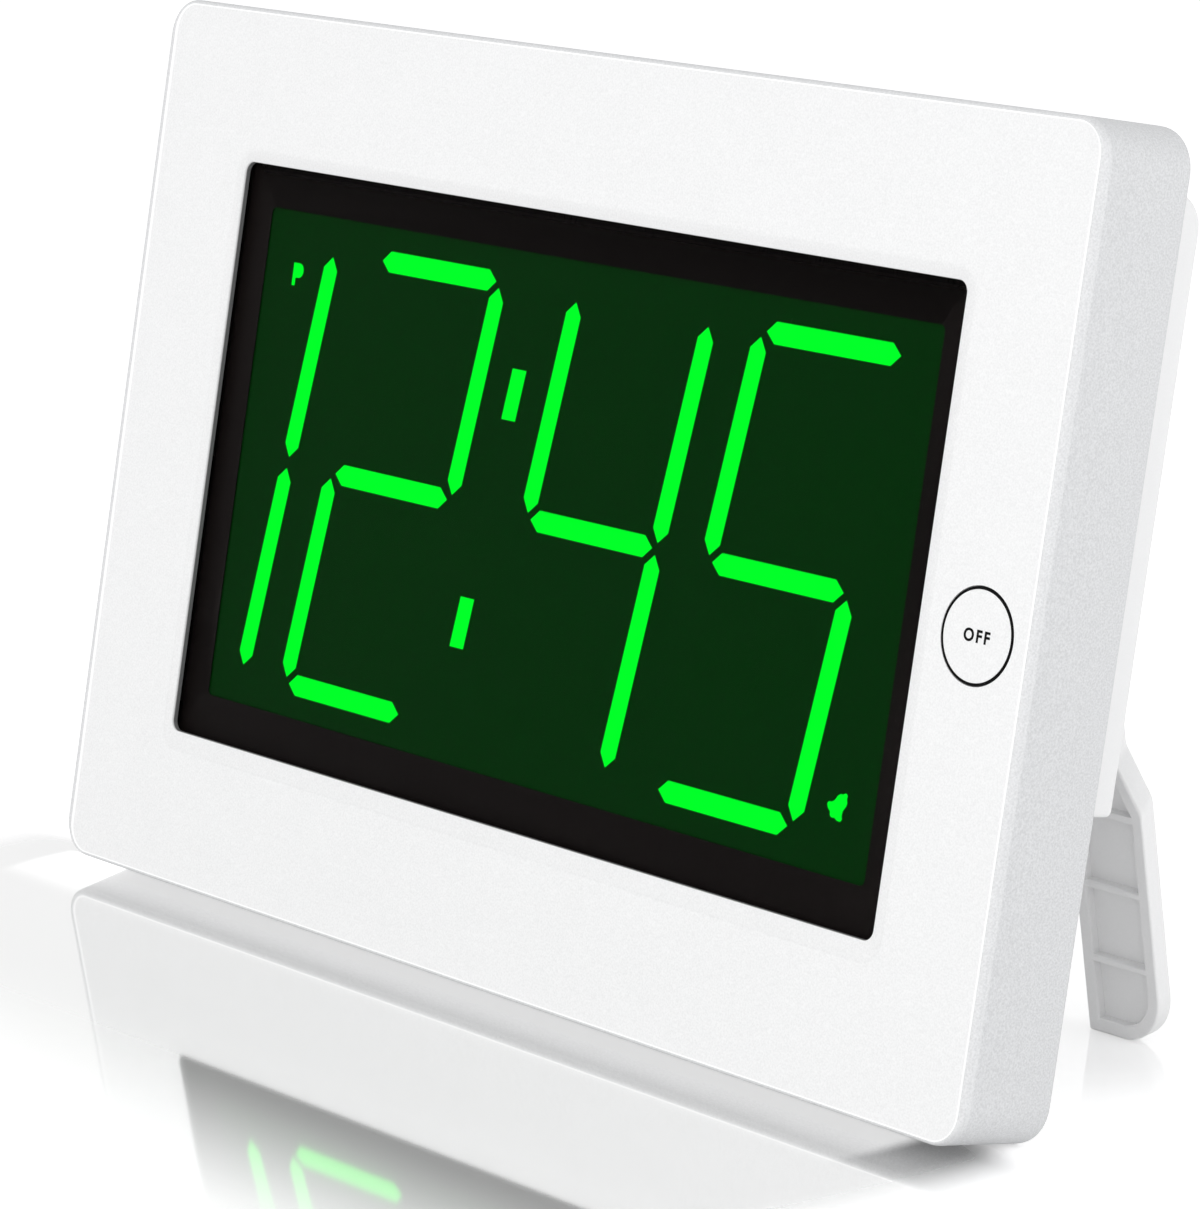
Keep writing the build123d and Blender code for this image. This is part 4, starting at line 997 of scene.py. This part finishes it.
@dataclass
class StopButton:
    """Front button: softened cap and the word printed on it."""

    pose: ClockPose
    word: str = "OFF"
    cap_height: float = 2.1
    weight: float = 0.03
    spacing: float = 1.3
    ink: float = 0.04
    soft: float = 0.1

    def build(self) -> None:
        """Makes the cap, its ring and its print."""
        cap = Refined("stop_button", "stop_cap", Finish.CASE_WHITE, Body.STOP, Slot.WHITE, soft=self.soft)
        cap.build(self.pose)
        dress_node("stop_ring", Finish.MARK)
        curve = bpy.data.curves.new("stop_word", "FONT")
        curve.body = self.word
        curve.extrude = self.ink / 2
        curve.space_character = self.spacing
        curve.offset = self.weight
        text = linked("stop_word_curve", curve)
        mesh = bpy.data.meshes.new_from_object(text.evaluated_get(bpy.context.evaluated_depsgraph_get()))
        bpy.data.objects.remove(text)
        low, high = corners_of([vert.co for vert in mesh.vertices])
        share = self.cap_height / (high.y - low.y)
        ring_low, ring_high = self.pose.box("stop_ring")
        middle = (ring_low + ring_high) / 2
        mesh.transform(Matrix.Translation(-(low + high) / 2))
        mesh.transform(Matrix.Diagonal((share, share, 1.0, 1.0)))
        mesh.transform(Matrix.Rotation(math.radians(90), 4, "X"))
        mesh.transform(self.pose.matrix @ Matrix.Translation((middle.x, ring_low.y - self.ink / 2, middle.z)))
        add_piece("stop_word", mesh, [Finish.MARK], Body.STOP, Slot.INK)


@dataclass
class DisplayMarks:
    """Lit signs in the corners of the display: a letter for the afternoon and a tilted alarm bell."""

    pose: ClockPose
    letter_place: Point2 = (-74.8, 33.83)
    letter_height: float = 4.1
    stem: float = 0.75
    bowl: float = 1.33
    waist: float = 1.5
    bell_place: Point2 = (79.57, -34.6)
    bell_tilt: float = -35.0
    mouth: float = 2.05
    clapper: float = 0.62
    clapper_drop: float = 0.5
    arc_steps: int = 12

    def letter(self) -> list[Point2]:
        """Outline of a solid letter P."""
        top = self.letter_height / 2
        shape = [(0, -top), (self.stem, -top), (self.stem, top - 2 * self.bowl)]
        shape += [(self.waist + self.bowl * math.cos(turn), top - self.bowl + self.bowl * math.sin(turn))
                  for turn in turns(-90, 90, self.arc_steps)]
        shape.append((0, top))
        middle = (self.waist + self.bowl) / 2
        x, z = self.letter_place
        return [(x + i - middle, z + k) for i, k in shape]

    def bell(self) -> list[Point2]:
        """Outline of a bell with its knob and clapper, turned about the middle of its mouth."""
        lip = [(0.68, 0.0), (1.0, 0.4), (1.0, 0.95), (0.78, 1.25)]
        dome = [(0.6, 2.0), (0.6, 3.05), (0.5, 3.6), (0.25, 3.95), (0.13, 4.5)]
        right = [(self.mouth * share, rise) for share, rise in lip + dome]
        beat = [(self.clapper * math.cos(turn), self.clapper_drop * math.sin(turn))
                for turn in turns(180, 360, self.arc_steps // 2)]
        shape = beat + right + [(-i, k) for i, k in reversed(right)]
        turn = Matrix.Rotation(math.radians(self.bell_tilt), 2)
        place = Vector(self.bell_place)
        return [tuple(turn @ Vector(point) + place) for point in shape]

    def build(self) -> None:
        """Makes both signs as thin plates on the glass."""
        low, high = self.pose.box("lcd_digits")
        for name, outline in (("afternoon_mark", self.letter()), ("bell_mark", self.bell())):
            drawing = LoopMesh()
            drawing.prism(outline, low.y, high.y)
            add_piece(name, drawing.mesh(name, self.pose), [Finish.LIT], Body.CASE, Slot.LIT)


@dataclass
class RearControls:
    """Rear cover with its keys, switch knobs, door and stand."""

    pose: ClockPose
    arrow: float = 1.5
    ink: float = 0.06
    stand_soft: float = 0.35
    key_soft: float = 0.15

    def build(self) -> None:
        """Makes the softened copies and the arrows on two keys."""
        white, grey = Finish.REAR_WHITE, Finish.KEY_GREY
        _, front_high = self.pose.box("front_bezel")
        Refined("rear_cover", "rear_shell", white, Body.CASE, Slot.WHITE, behind=front_high.y,
                kept="buzzer").build(self.pose)
        Refined("stand_frame", "stand", white, Body.STAND, Slot.WHITE, soft=self.stand_soft).build(self.pose)
        Refined("battery_door", "door", white, Body.DOOR, Slot.WHITE).build(self.pose)
        for body in (Body.TIME, Body.ALARM, Body.UP, Body.DOWN, Body.ALARM_SWITCH, Body.LIGHT_SWITCH):
            key = Refined(body.value, f"{body.value}_soft", grey, body, Slot.GREY, soft=self.key_soft)
            key.build(self.pose)
        for body, way in ((Body.UP, 1), (Body.DOWN, -1)):
            self.mark(body, way)

    def mark(self, body: Body, way: int) -> None:
        """Prints an arrow on a key.

        Args:
            body: The key.
            way: 1 for up and -1 for down.
        """
        low, high = self.pose.box(body.value)
        outline = circle_outline(self.arrow, *middle_of(low, high), steps=3, start=90 * way)
        drawing = LoopMesh()
        drawing.prism(outline, high.y, high.y + self.ink)
        name = f"{body.value}_arrow"
        add_piece(name, drawing.mesh(name, self.pose), [Finish.MARK], body, Slot.INK)


@dataclass
class BatteryCells:
    """Cells in the bay: printed film between a metal base and a metal cap."""

    pose: ClockPose
    shoulder: float = 0.8
    cap_radius: float = 2.75
    cap_length: float = 1.2
    cap_soft: float = 0.3
    band_share: float = 0.3
    sides: int = 48

    def profile(self, radius: float, length: float) -> list[tuple[float, float, float, int]]:
        """Turned outline of a cell from the base to the cap.

        Args:
            radius: Radius of the cell.
            length: Length without the cap.

        Returns:
            Radius, distance from the base, tone and the material number of the band that follows.
        """
        edge, top = self.shoulder, length + self.cap_length
        band_start = length * (1 - self.band_share)
        return [(radius - edge, 0.0, 0.0, 1), (radius, edge / 2, 0.0, 1), (radius, edge, 0.0, 0),
                (radius, band_start, 0.0, 0), (radius, band_start, 1.0, 0), (radius, length - edge, 1.0, 0),
                (radius - edge, length, 1.0, 1), (self.cap_radius, length, 0.0, 1),
                (self.cap_radius, top - self.cap_soft, 0.0, 1),
                (self.cap_radius - self.cap_soft, top, 0.0, 1)]

    def build(self) -> None:
        """Makes all the cells as one piece."""
        drawing = LoopMesh()
        for points in self.pose.solids("batteries"):
            low, high = corners_of(points)
            radius, y, z = (high.z - low.z) / 2, (low.y + high.y) / 2, (low.z + high.z) / 2
            at_high_end = [point for point in points if high.x - point.x < self.cap_length / 2]
            way = 1 if max(abs(point.z - z) for point in at_high_end) < radius / 2 else -1
            base = low.x if way > 0 else high.x
            steps = self.profile(radius, high.x - low.x - self.cap_length)
            rings = []
            for r, distance, tone, _ in steps:
                circle = circle_outline(r, y, z, self.sides)
                points_round = [(base + way * distance, i, k) for i, k in circle]
                rings.append(drawing.ring(points_round, {Tone.PAINTED_SHADE_AND_BAND: tone}))
            for first, second, (*_, number) in zip(rings, rings[1:], steps):
                drawing.band(first, second, number)
            for ring in (rings[0], rings[-1]):
                drawing.flat(ring, number=1)
        add_piece("cells", drawing.mesh("cells", self.pose), [Finish.CELL, Finish.STEEL], Body.CASE,
                  Slot.CELL, ["batteries"])


@dataclass
class Screws:
    """Cross-head screws that a Geometry Nodes tree sets on points."""

    pose: ClockPose
    head_radius: float = 2.4
    head_height: float = 1.6
    crown: float = 0.45
    crown_top: float = 0.75
    head_sides: int = 32
    shank_radius: float = 1.3
    shank_sides: int = 24
    shank_sunk: float = 0.499
    recess_width: float = 0.85
    recess_length: float = 3.0
    recess_depth: float = 0.9
    seed: int = 7

    def tree(self) -> NodeTree:
        """Builds the tree with its sizes as named inputs.

        Returns:
            The tree, which ends in one mesh with its material set.
        """
        tree = bpy.data.node_groups.new("screws on points", "GeometryNodeTree")
        graph = NodeGraph(tree)
        sockets = {"Geometry": ["Points"], "Vector": ["Axis"],
                   "Float": ["Head Radius", "Head Height", "Crown", "Shank Radius", "Shank Length",
                             "Recess Width", "Recess Length", "Recess Depth"],
                   "Int": ["Seed"], "Material": ["Material"]}
        for kind, names in sockets.items():
            for name in names:
                tree.interface.new_socket(name, in_out="INPUT", socket_type=f"NodeSocket{kind}")
        tree.interface.new_socket("Screws", in_out="OUTPUT", socket_type="NodeSocketGeometry")
        given = graph.add("NodeGroupInput").outputs
        screw = self.combined(graph, "DIFFERENCE", self.solid(graph, given), self.bars(graph, given))
        drawn = {RANDOM_LOW: 0.0, RANDOM_HIGH: math.tau, "Seed": given["Seed"]}
        angle = graph.out("FunctionNodeRandomValue", drawn, RANDOM_RESULT, data_type="FLOAT")
        turn = graph.out("FunctionNodeAxisAngleToRotation", {"Axis": (0, 0, 1), "Angle": angle})
        upright = graph.out("FunctionNodeAlignRotationToVector", {"Vector": given["Axis"]}, axis="Z")
        way = graph.out("FunctionNodeRotateRotation", {"Rotation": upright, "Rotate By": turn},
                        rotation_space="LOCAL")
        points = graph.out("GeometryNodeMeshToPoints", {"Mesh": given["Points"]})
        copies = graph.out("GeometryNodeInstanceOnPoints", {
            "Points": points, "Instance": screw, "Rotation": way})
        real = graph.out("GeometryNodeRealizeInstances", {0: copies})
        done = graph.out("GeometryNodeSetMaterial", {"Geometry": real, "Material": given["Material"]})
        graph.add("NodeGroupOutput", {0: done})
        return tree

    def solid(self, graph: NodeGraph, given: bpy.types.NodeOutputs) -> Socket:
        """Head with its crown and shank, from the tree's inputs."""
        radius, height, length = (given[name] for name in ("Head Radius", "Head Height", "Shank Length"))
        rim = graph.math("MULTIPLY", height, graph.math("SUBTRACT", 1.0, given["Crown"]))
        head = graph.out("GeometryNodeMeshCylinder", {
            "Vertices": self.head_sides, "Radius": radius, "Depth": rim}, "Mesh")
        crown = graph.out("GeometryNodeMeshCone", {
            "Vertices": self.head_sides, "Radius Top": graph.math("MULTIPLY", radius, self.crown_top),
            "Radius Bottom": radius, "Depth": graph.math("SUBTRACT", height, rim)}, "Mesh")
        shank = graph.out("GeometryNodeMeshCylinder", {
            "Vertices": self.shank_sides, "Radius": given["Shank Radius"], "Depth": length}, "Mesh")
        middle = graph.math("MULTIPLY", rim, 0.5)
        sunk = graph.math("MULTIPLY", length, -self.shank_sunk)
        parts = [self.raised(graph, *part) for part in ((head, middle), (crown, rim), (shank, sunk))]
        return self.combined(graph, "UNION", None, parts)

    def bars(self, graph: NodeGraph, given: bpy.types.NodeOutputs) -> list[Socket]:
        """The two bars of the cross recess, half of each above the head."""
        depth = graph.math("MULTIPLY", given["Recess Depth"], 2.0)
        sides = [given["Recess Length"], given["Recess Width"]]
        bars = []
        for first, second in (sides, reversed(sides)):
            size = graph.out("ShaderNodeCombineXYZ", {0: first, 1: second, 2: depth})
            cube = graph.out("GeometryNodeMeshCube", {"Size": size}, "Mesh")
            bars.append(self.raised(graph, cube, given["Head Height"]))
        return bars

    @staticmethod
    def raised(graph: NodeGraph, mesh: Socket, height: Any) -> Socket:
        """Mesh moved up its axis."""
        move = graph.out("ShaderNodeCombineXYZ", {2: height})
        return graph.out("GeometryNodeTransform", {"Geometry": mesh, "Translation": move})

    @staticmethod
    def combined(graph: NodeGraph, operation: str, base: Socket | None,
                 meshes: Iterable[Socket]) -> Socket:
        """Boolean of meshes, from a base where the operation takes one."""
        node = graph.add("GeometryNodeMeshBoolean", operation=operation)
        if base:
            graph.feed(node.inputs["Mesh 1"], base)
        for mesh in meshes:
            graph.feed(node.inputs["Mesh 2"], mesh)
        return node.outputs[0]

    def build(self) -> None:
        """Sets the screws of the case and of the display holder."""
        tree = self.tree()
        for node, name in (("case_screws", "case_screw_set"), ("holder_screws", "holder_screw_set")):
            boxes = [corners_of(points) for points in self.pose.solids(node)]
            seats = []
            for low, high in boxes:
                x, z = middle_of(low, high)
                seats.append(self.pose.matrix @ Vector((x, high.y - self.head_height, z)))
            mesh = bpy.data.meshes.new(name)
            mesh.from_pydata(seats, [], [])
            low, high = boxes[0]
            lengths = {"Head Radius": self.head_radius, "Head Height": self.head_height,
                       "Shank Radius": self.shank_radius,
                       "Shank Length": high.y - low.y - self.head_height,
                       "Recess Width": self.recess_width, "Recess Length": self.recess_length,
                       "Recess Depth": self.recess_depth}
            values = {key: length * MM for key, length in lengths.items()}
            values |= {"Axis": self.pose.depth_axis(), "Crown": self.crown, "Seed": self.seed,
                       "Material": Finish.STEEL.material()}
            screws = self.evaluated(name, mesh, tree, values)
            add_piece(name, screws, [Finish.STEEL], Body.CASE, Slot.STEEL, [node])

    @staticmethod
    def evaluated(name: str, mesh: Mesh, tree: NodeTree,
                  values: dict[str, Any]) -> Mesh:
        """Runs the tree on a mesh.

        Args:
            name: Name of the new mesh.
            mesh: Points for the tree.
            tree: The tree.
            values: Values of the tree's inputs by name.

        Returns:
            The finished mesh.
        """
        carrier = linked(f"{name}_points", mesh)
        modifier = carrier.modifiers.new("screws", "NODES")
        modifier.node_group = tree
        for socket in tree.interface.items_tree:
            if socket.name in values:
                modifier[socket.identifier] = values[socket.name]
        carrier.update_tag()
        depsgraph = bpy.context.evaluated_depsgraph_get()
        finished = bpy.data.meshes.new_from_object(carrier.evaluated_get(depsgraph), depsgraph=depsgraph)
        bpy.data.objects.remove(carrier)
        finished.name = name
        smooth(finished)
        return finished


class InnerWorks:
    """Display stack, boards and contacts, which stay CAD nodes."""

    FINISHES: dict[str, Finish] = {
        "display_lens": Finish.LENS, "lens_border": Finish.BORDER, "lcd_panel": Finish.GLASS,
        "lcd_digits": Finish.LIT, "lcd_holder": Finish.HOLDER, "light_guide": Finish.GUIDE,
        "reflector_film": Finish.FILM, "lamp_board": Finish.BOARD, "lamps": Finish.LAMP,
        "rubber_strip": Finish.RUBBER, "main_board": Finish.BOARD, "clock_chip": Finish.CHIP,
        "quartz_crystal": Finish.STEEL, "stop_board": Finish.BOARD, "stop_contact": Finish.CHIP,
        "key_board": Finish.BOARD, "key_contacts": Finish.CHIP, "switch_bodies": Finish.STEEL,
        "buzzer": Finish.BUZZER, "battery_contacts": Finish.BRASS, "stand_pins": Finish.STEEL,
    }

    def build(self) -> None:
        """Gives each node its finish."""
        for node, finish in self.FINISHES.items():
            dress_node(node, finish)


@dataclass
class Studio:
    """Floor, light and background."""

    radius: float = 6.0
    floor_sides: int = 96
    floor_colour: Colour = (0.92, 0.92, 0.92)
    floor_lift: float = 0.42
    ambient: float = 0.95
    ambient_behind: float = 0.6
    ambient_tint: Colour = (0.992, 0.995, 1.0)
    weaker_way: Point3 = (0.0, 0.8, 0.6)
    weaker_start: float = -0.2
    weaker_end: float = 0.8
    lamp_aim: Point3 = (0.0, 0.0, 0.08)
    key_power: float = 6.8
    key_size: float = 1.4
    key_place: Point3 = (0.45, -1.35, 0.55)
    side_power: float = 4.8
    side_size: float = 0.9
    side_place: Point3 = (1.3, 0.35, 0.5)
    mirror: float = 0.85
    mirror_colour: Colour = (0.85, 0.85, 0.85)
    mirror_start: float = 0.045
    mirror_end: float = 0.125
    mirror_behind: float = 12.0
    mirror_beside: float = 4.0
    mirror_blur: float = 0.05
    base_middle: float = -0.012
    base_reach: float = 0.112
    base_line: float = -0.03
    # painted light that lightens the floor's shadow along the line the clock stands on, and how far it
    # reaches
    base_painted_light: float = 0.54
    painted_light_reach: float = 0.02
    foot_mirror: float = 0.3
    foot_place: Point2 = (0.086, 0.029)
    foot_start: float = 0.008
    foot_end: float = 0.045

    def build(self) -> None:
        """Makes the floor, the world and the lamps."""
        self.floor()
        self.world()
        self.lamp("key", self.key_power, self.key_size, self.key_place)
        self.lamp("side", self.side_power, self.side_size, self.side_place)

    @staticmethod
    def seen(graph: NodeGraph) -> Socket:
        """One for rays of the camera, of gloss and of clear pieces."""
        path = graph.add("ShaderNodeLightPath").outputs
        both = graph.math("MAXIMUM", path["Is Camera Ray"], path["Is Glossy Ray"])
        return graph.math("MAXIMUM", both, path["Is Transmission Ray"])

    def floor(self) -> None:
        """Wide pale floor that the camera sees as white where it is lit, with painted light that lightens its
        shadow along the line the clock stands on.
        """
        work = bmesh.new()
        bmesh.ops.create_circle(work, cap_ends=True, segments=self.floor_sides, radius=self.radius)
        mesh = bpy.data.meshes.new("floor")
        work.to_mesh(mesh)
        work.free()
        floor = linked("floor", mesh)
        graph = SurfaceGraph("floor pale")
        distance = self.from_base(graph)
        foot = graph.ramp(self.from_foot(graph), self.foot_start, self.foot_end, self.foot_mirror, 0.0)
        base = graph.ramp(distance, self.mirror_start, self.mirror_end, self.mirror, 0.0)
        fade = graph.math("MAXIMUM", foot, base)
        open_share = graph.math("SUBTRACT", 1.0, fade)
        # even lift where the floor is no mirror, plus painted light along the base line
        lift_and_painted_light = graph.math("ADD", graph.math("MULTIPLY", open_share, self.floor_lift),
                          graph.ramp(distance, 0.0, self.painted_light_reach, self.base_painted_light, 0.0))
        matte = graph.out("ShaderNodeBsdfDiffuse", {"Color": with_alpha(self.floor_colour)})
        gloss = graph.out("ShaderNodeBsdfGlossy", {
            "Color": with_alpha(self.mirror_colour), "Roughness": self.mirror_blur})
        lift_and_light_emission = graph.out("ShaderNodeEmission", {"Strength": graph.math("MULTIPLY", self.seen(graph), lift_and_painted_light)})
        mixed = graph.out("ShaderNodeMixShader", {0: fade, 1: matte, 2: gloss})
        total = graph.out("ShaderNodeAddShader", {0: mixed, 1: lift_and_light_emission})
        graph.add("ShaderNodeOutputMaterial", {"Surface": total})
        mesh.materials.append(graph.material)

    def from_base(self, graph: SurfaceGraph) -> Socket:
        """Distance from the line that the clock stands on, stretched beside and behind it."""
        x, y, _ = graph.add("ShaderNodeSeparateXYZ", {0: graph.place}).outputs
        aside = graph.math("ABSOLUTE", graph.math("SUBTRACT", x, self.base_middle))
        past_end = graph.math("MAXIMUM", graph.math("SUBTRACT", aside, self.base_reach), 0.0)
        behind = graph.math("SUBTRACT", y, self.base_line)
        along_y = graph.math("MAXIMUM", graph.math("MULTIPLY", behind, self.mirror_behind),
                             graph.math("MULTIPLY", behind, -1.0))
        along_x = graph.math("MULTIPLY", past_end, self.mirror_beside)
        return self.length(graph, along_x, along_y)

    def from_foot(self, graph: SurfaceGraph) -> Socket:
        """Distance from the nearer foot of the open stand."""
        x, y, _ = graph.add("ShaderNodeSeparateXYZ", {0: graph.place}).outputs
        along_x = graph.math("SUBTRACT", graph.math("ABSOLUTE", x), self.foot_place[0])
        along_y = graph.math("SUBTRACT", y, self.foot_place[1])
        return self.length(graph, along_x, along_y)

    @staticmethod
    def length(graph: NodeGraph, along_x: Socket, along_y: Socket) -> Socket:
        """Length of a flat step from its two parts."""
        squares = [graph.math("POWER", part, 2.0) for part in (along_x, along_y)]
        return graph.math("SQRT", graph.math("ADD", *squares))

    def world(self) -> None:
        """Soft light all round, weaker from above and behind, and white where it is seen."""
        world = bpy.data.worlds.new("studio")
        bpy.context.scene.world = world
        world.use_nodes = True
        graph = NodeGraph(world.node_tree)
        way = graph.out("ShaderNodeTexCoord", number="Generated")
        facing = {0: way, 1: Vector(self.weaker_way)}
        behind = graph.out("ShaderNodeVectorMath", facing, "Value", operation="DOT_PRODUCT")
        strength = graph.ramp(behind, self.weaker_start, self.weaker_end, self.ambient,
                              self.ambient * self.ambient_behind)
        tint = with_alpha(self.ambient_tint)
        light = graph.out("ShaderNodeBackground", {"Color": tint, "Strength": strength})
        white = graph.out("ShaderNodeBackground", {"Color": with_alpha(WHITE), "Strength": 1.0})
        mixed = graph.out("ShaderNodeMixShader", {0: self.seen(graph), 1: light, 2: white})
        graph.add("ShaderNodeOutputWorld", {"Surface": mixed})

    def lamp(self, name: str, power: float, size: float, location: Point3) -> None:
        """Adds a large soft lamp that points at the clock.

        Args:
            name: Name of the lamp.
            power: Power in watts.
            size: Width and height in metres.
            location: Place in metres.
        """
        lamp = bpy.data.lights.new(name, "AREA")
        lamp.size = size
        lamp.energy = power
        look(linked(name, lamp), Vector(location), Vector(self.lamp_aim))


@dataclass
class PhotoCamera:
    """Camera of the photograph, in the clock's axes and millimetres."""

    pose: ClockPose
    place: Point3 = (665.4, -580.1, 72.1)
    aim: Point3 = (20.7, 0.0, -10.6)
    lens: float = 155.695
    sensor: float = 36.0

    def build(self) -> None:
        """Makes the scene's camera, level with the floor."""
        data = bpy.data.cameras.new("photo_camera")
        data.lens = self.lens
        data.sensor_width = self.sensor
        camera = linked("photo_camera", data)
        look(camera, *(self.pose.matrix @ Vector(point) for point in (self.place, self.aim)))
        bpy.context.scene.camera = camera


def main() -> None:
    """Builds the clock's looks and the studio round it."""
    logging.basicConfig(level=logging.INFO, format="%(message)s")
    bpy.context.scene.view_settings.view_transform = "Standard"
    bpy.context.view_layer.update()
    pose = ClockPose.from_frame()
    for part in (FrontShell(pose), StopButton(pose), DisplayMarks(pose), RearControls(pose),
                 BatteryCells(pose), Screws(pose), InnerWorks()):
        part.build()
    Studio().build()
    PhotoCamera(pose).build()


if __name__ == "__main__":
    main()
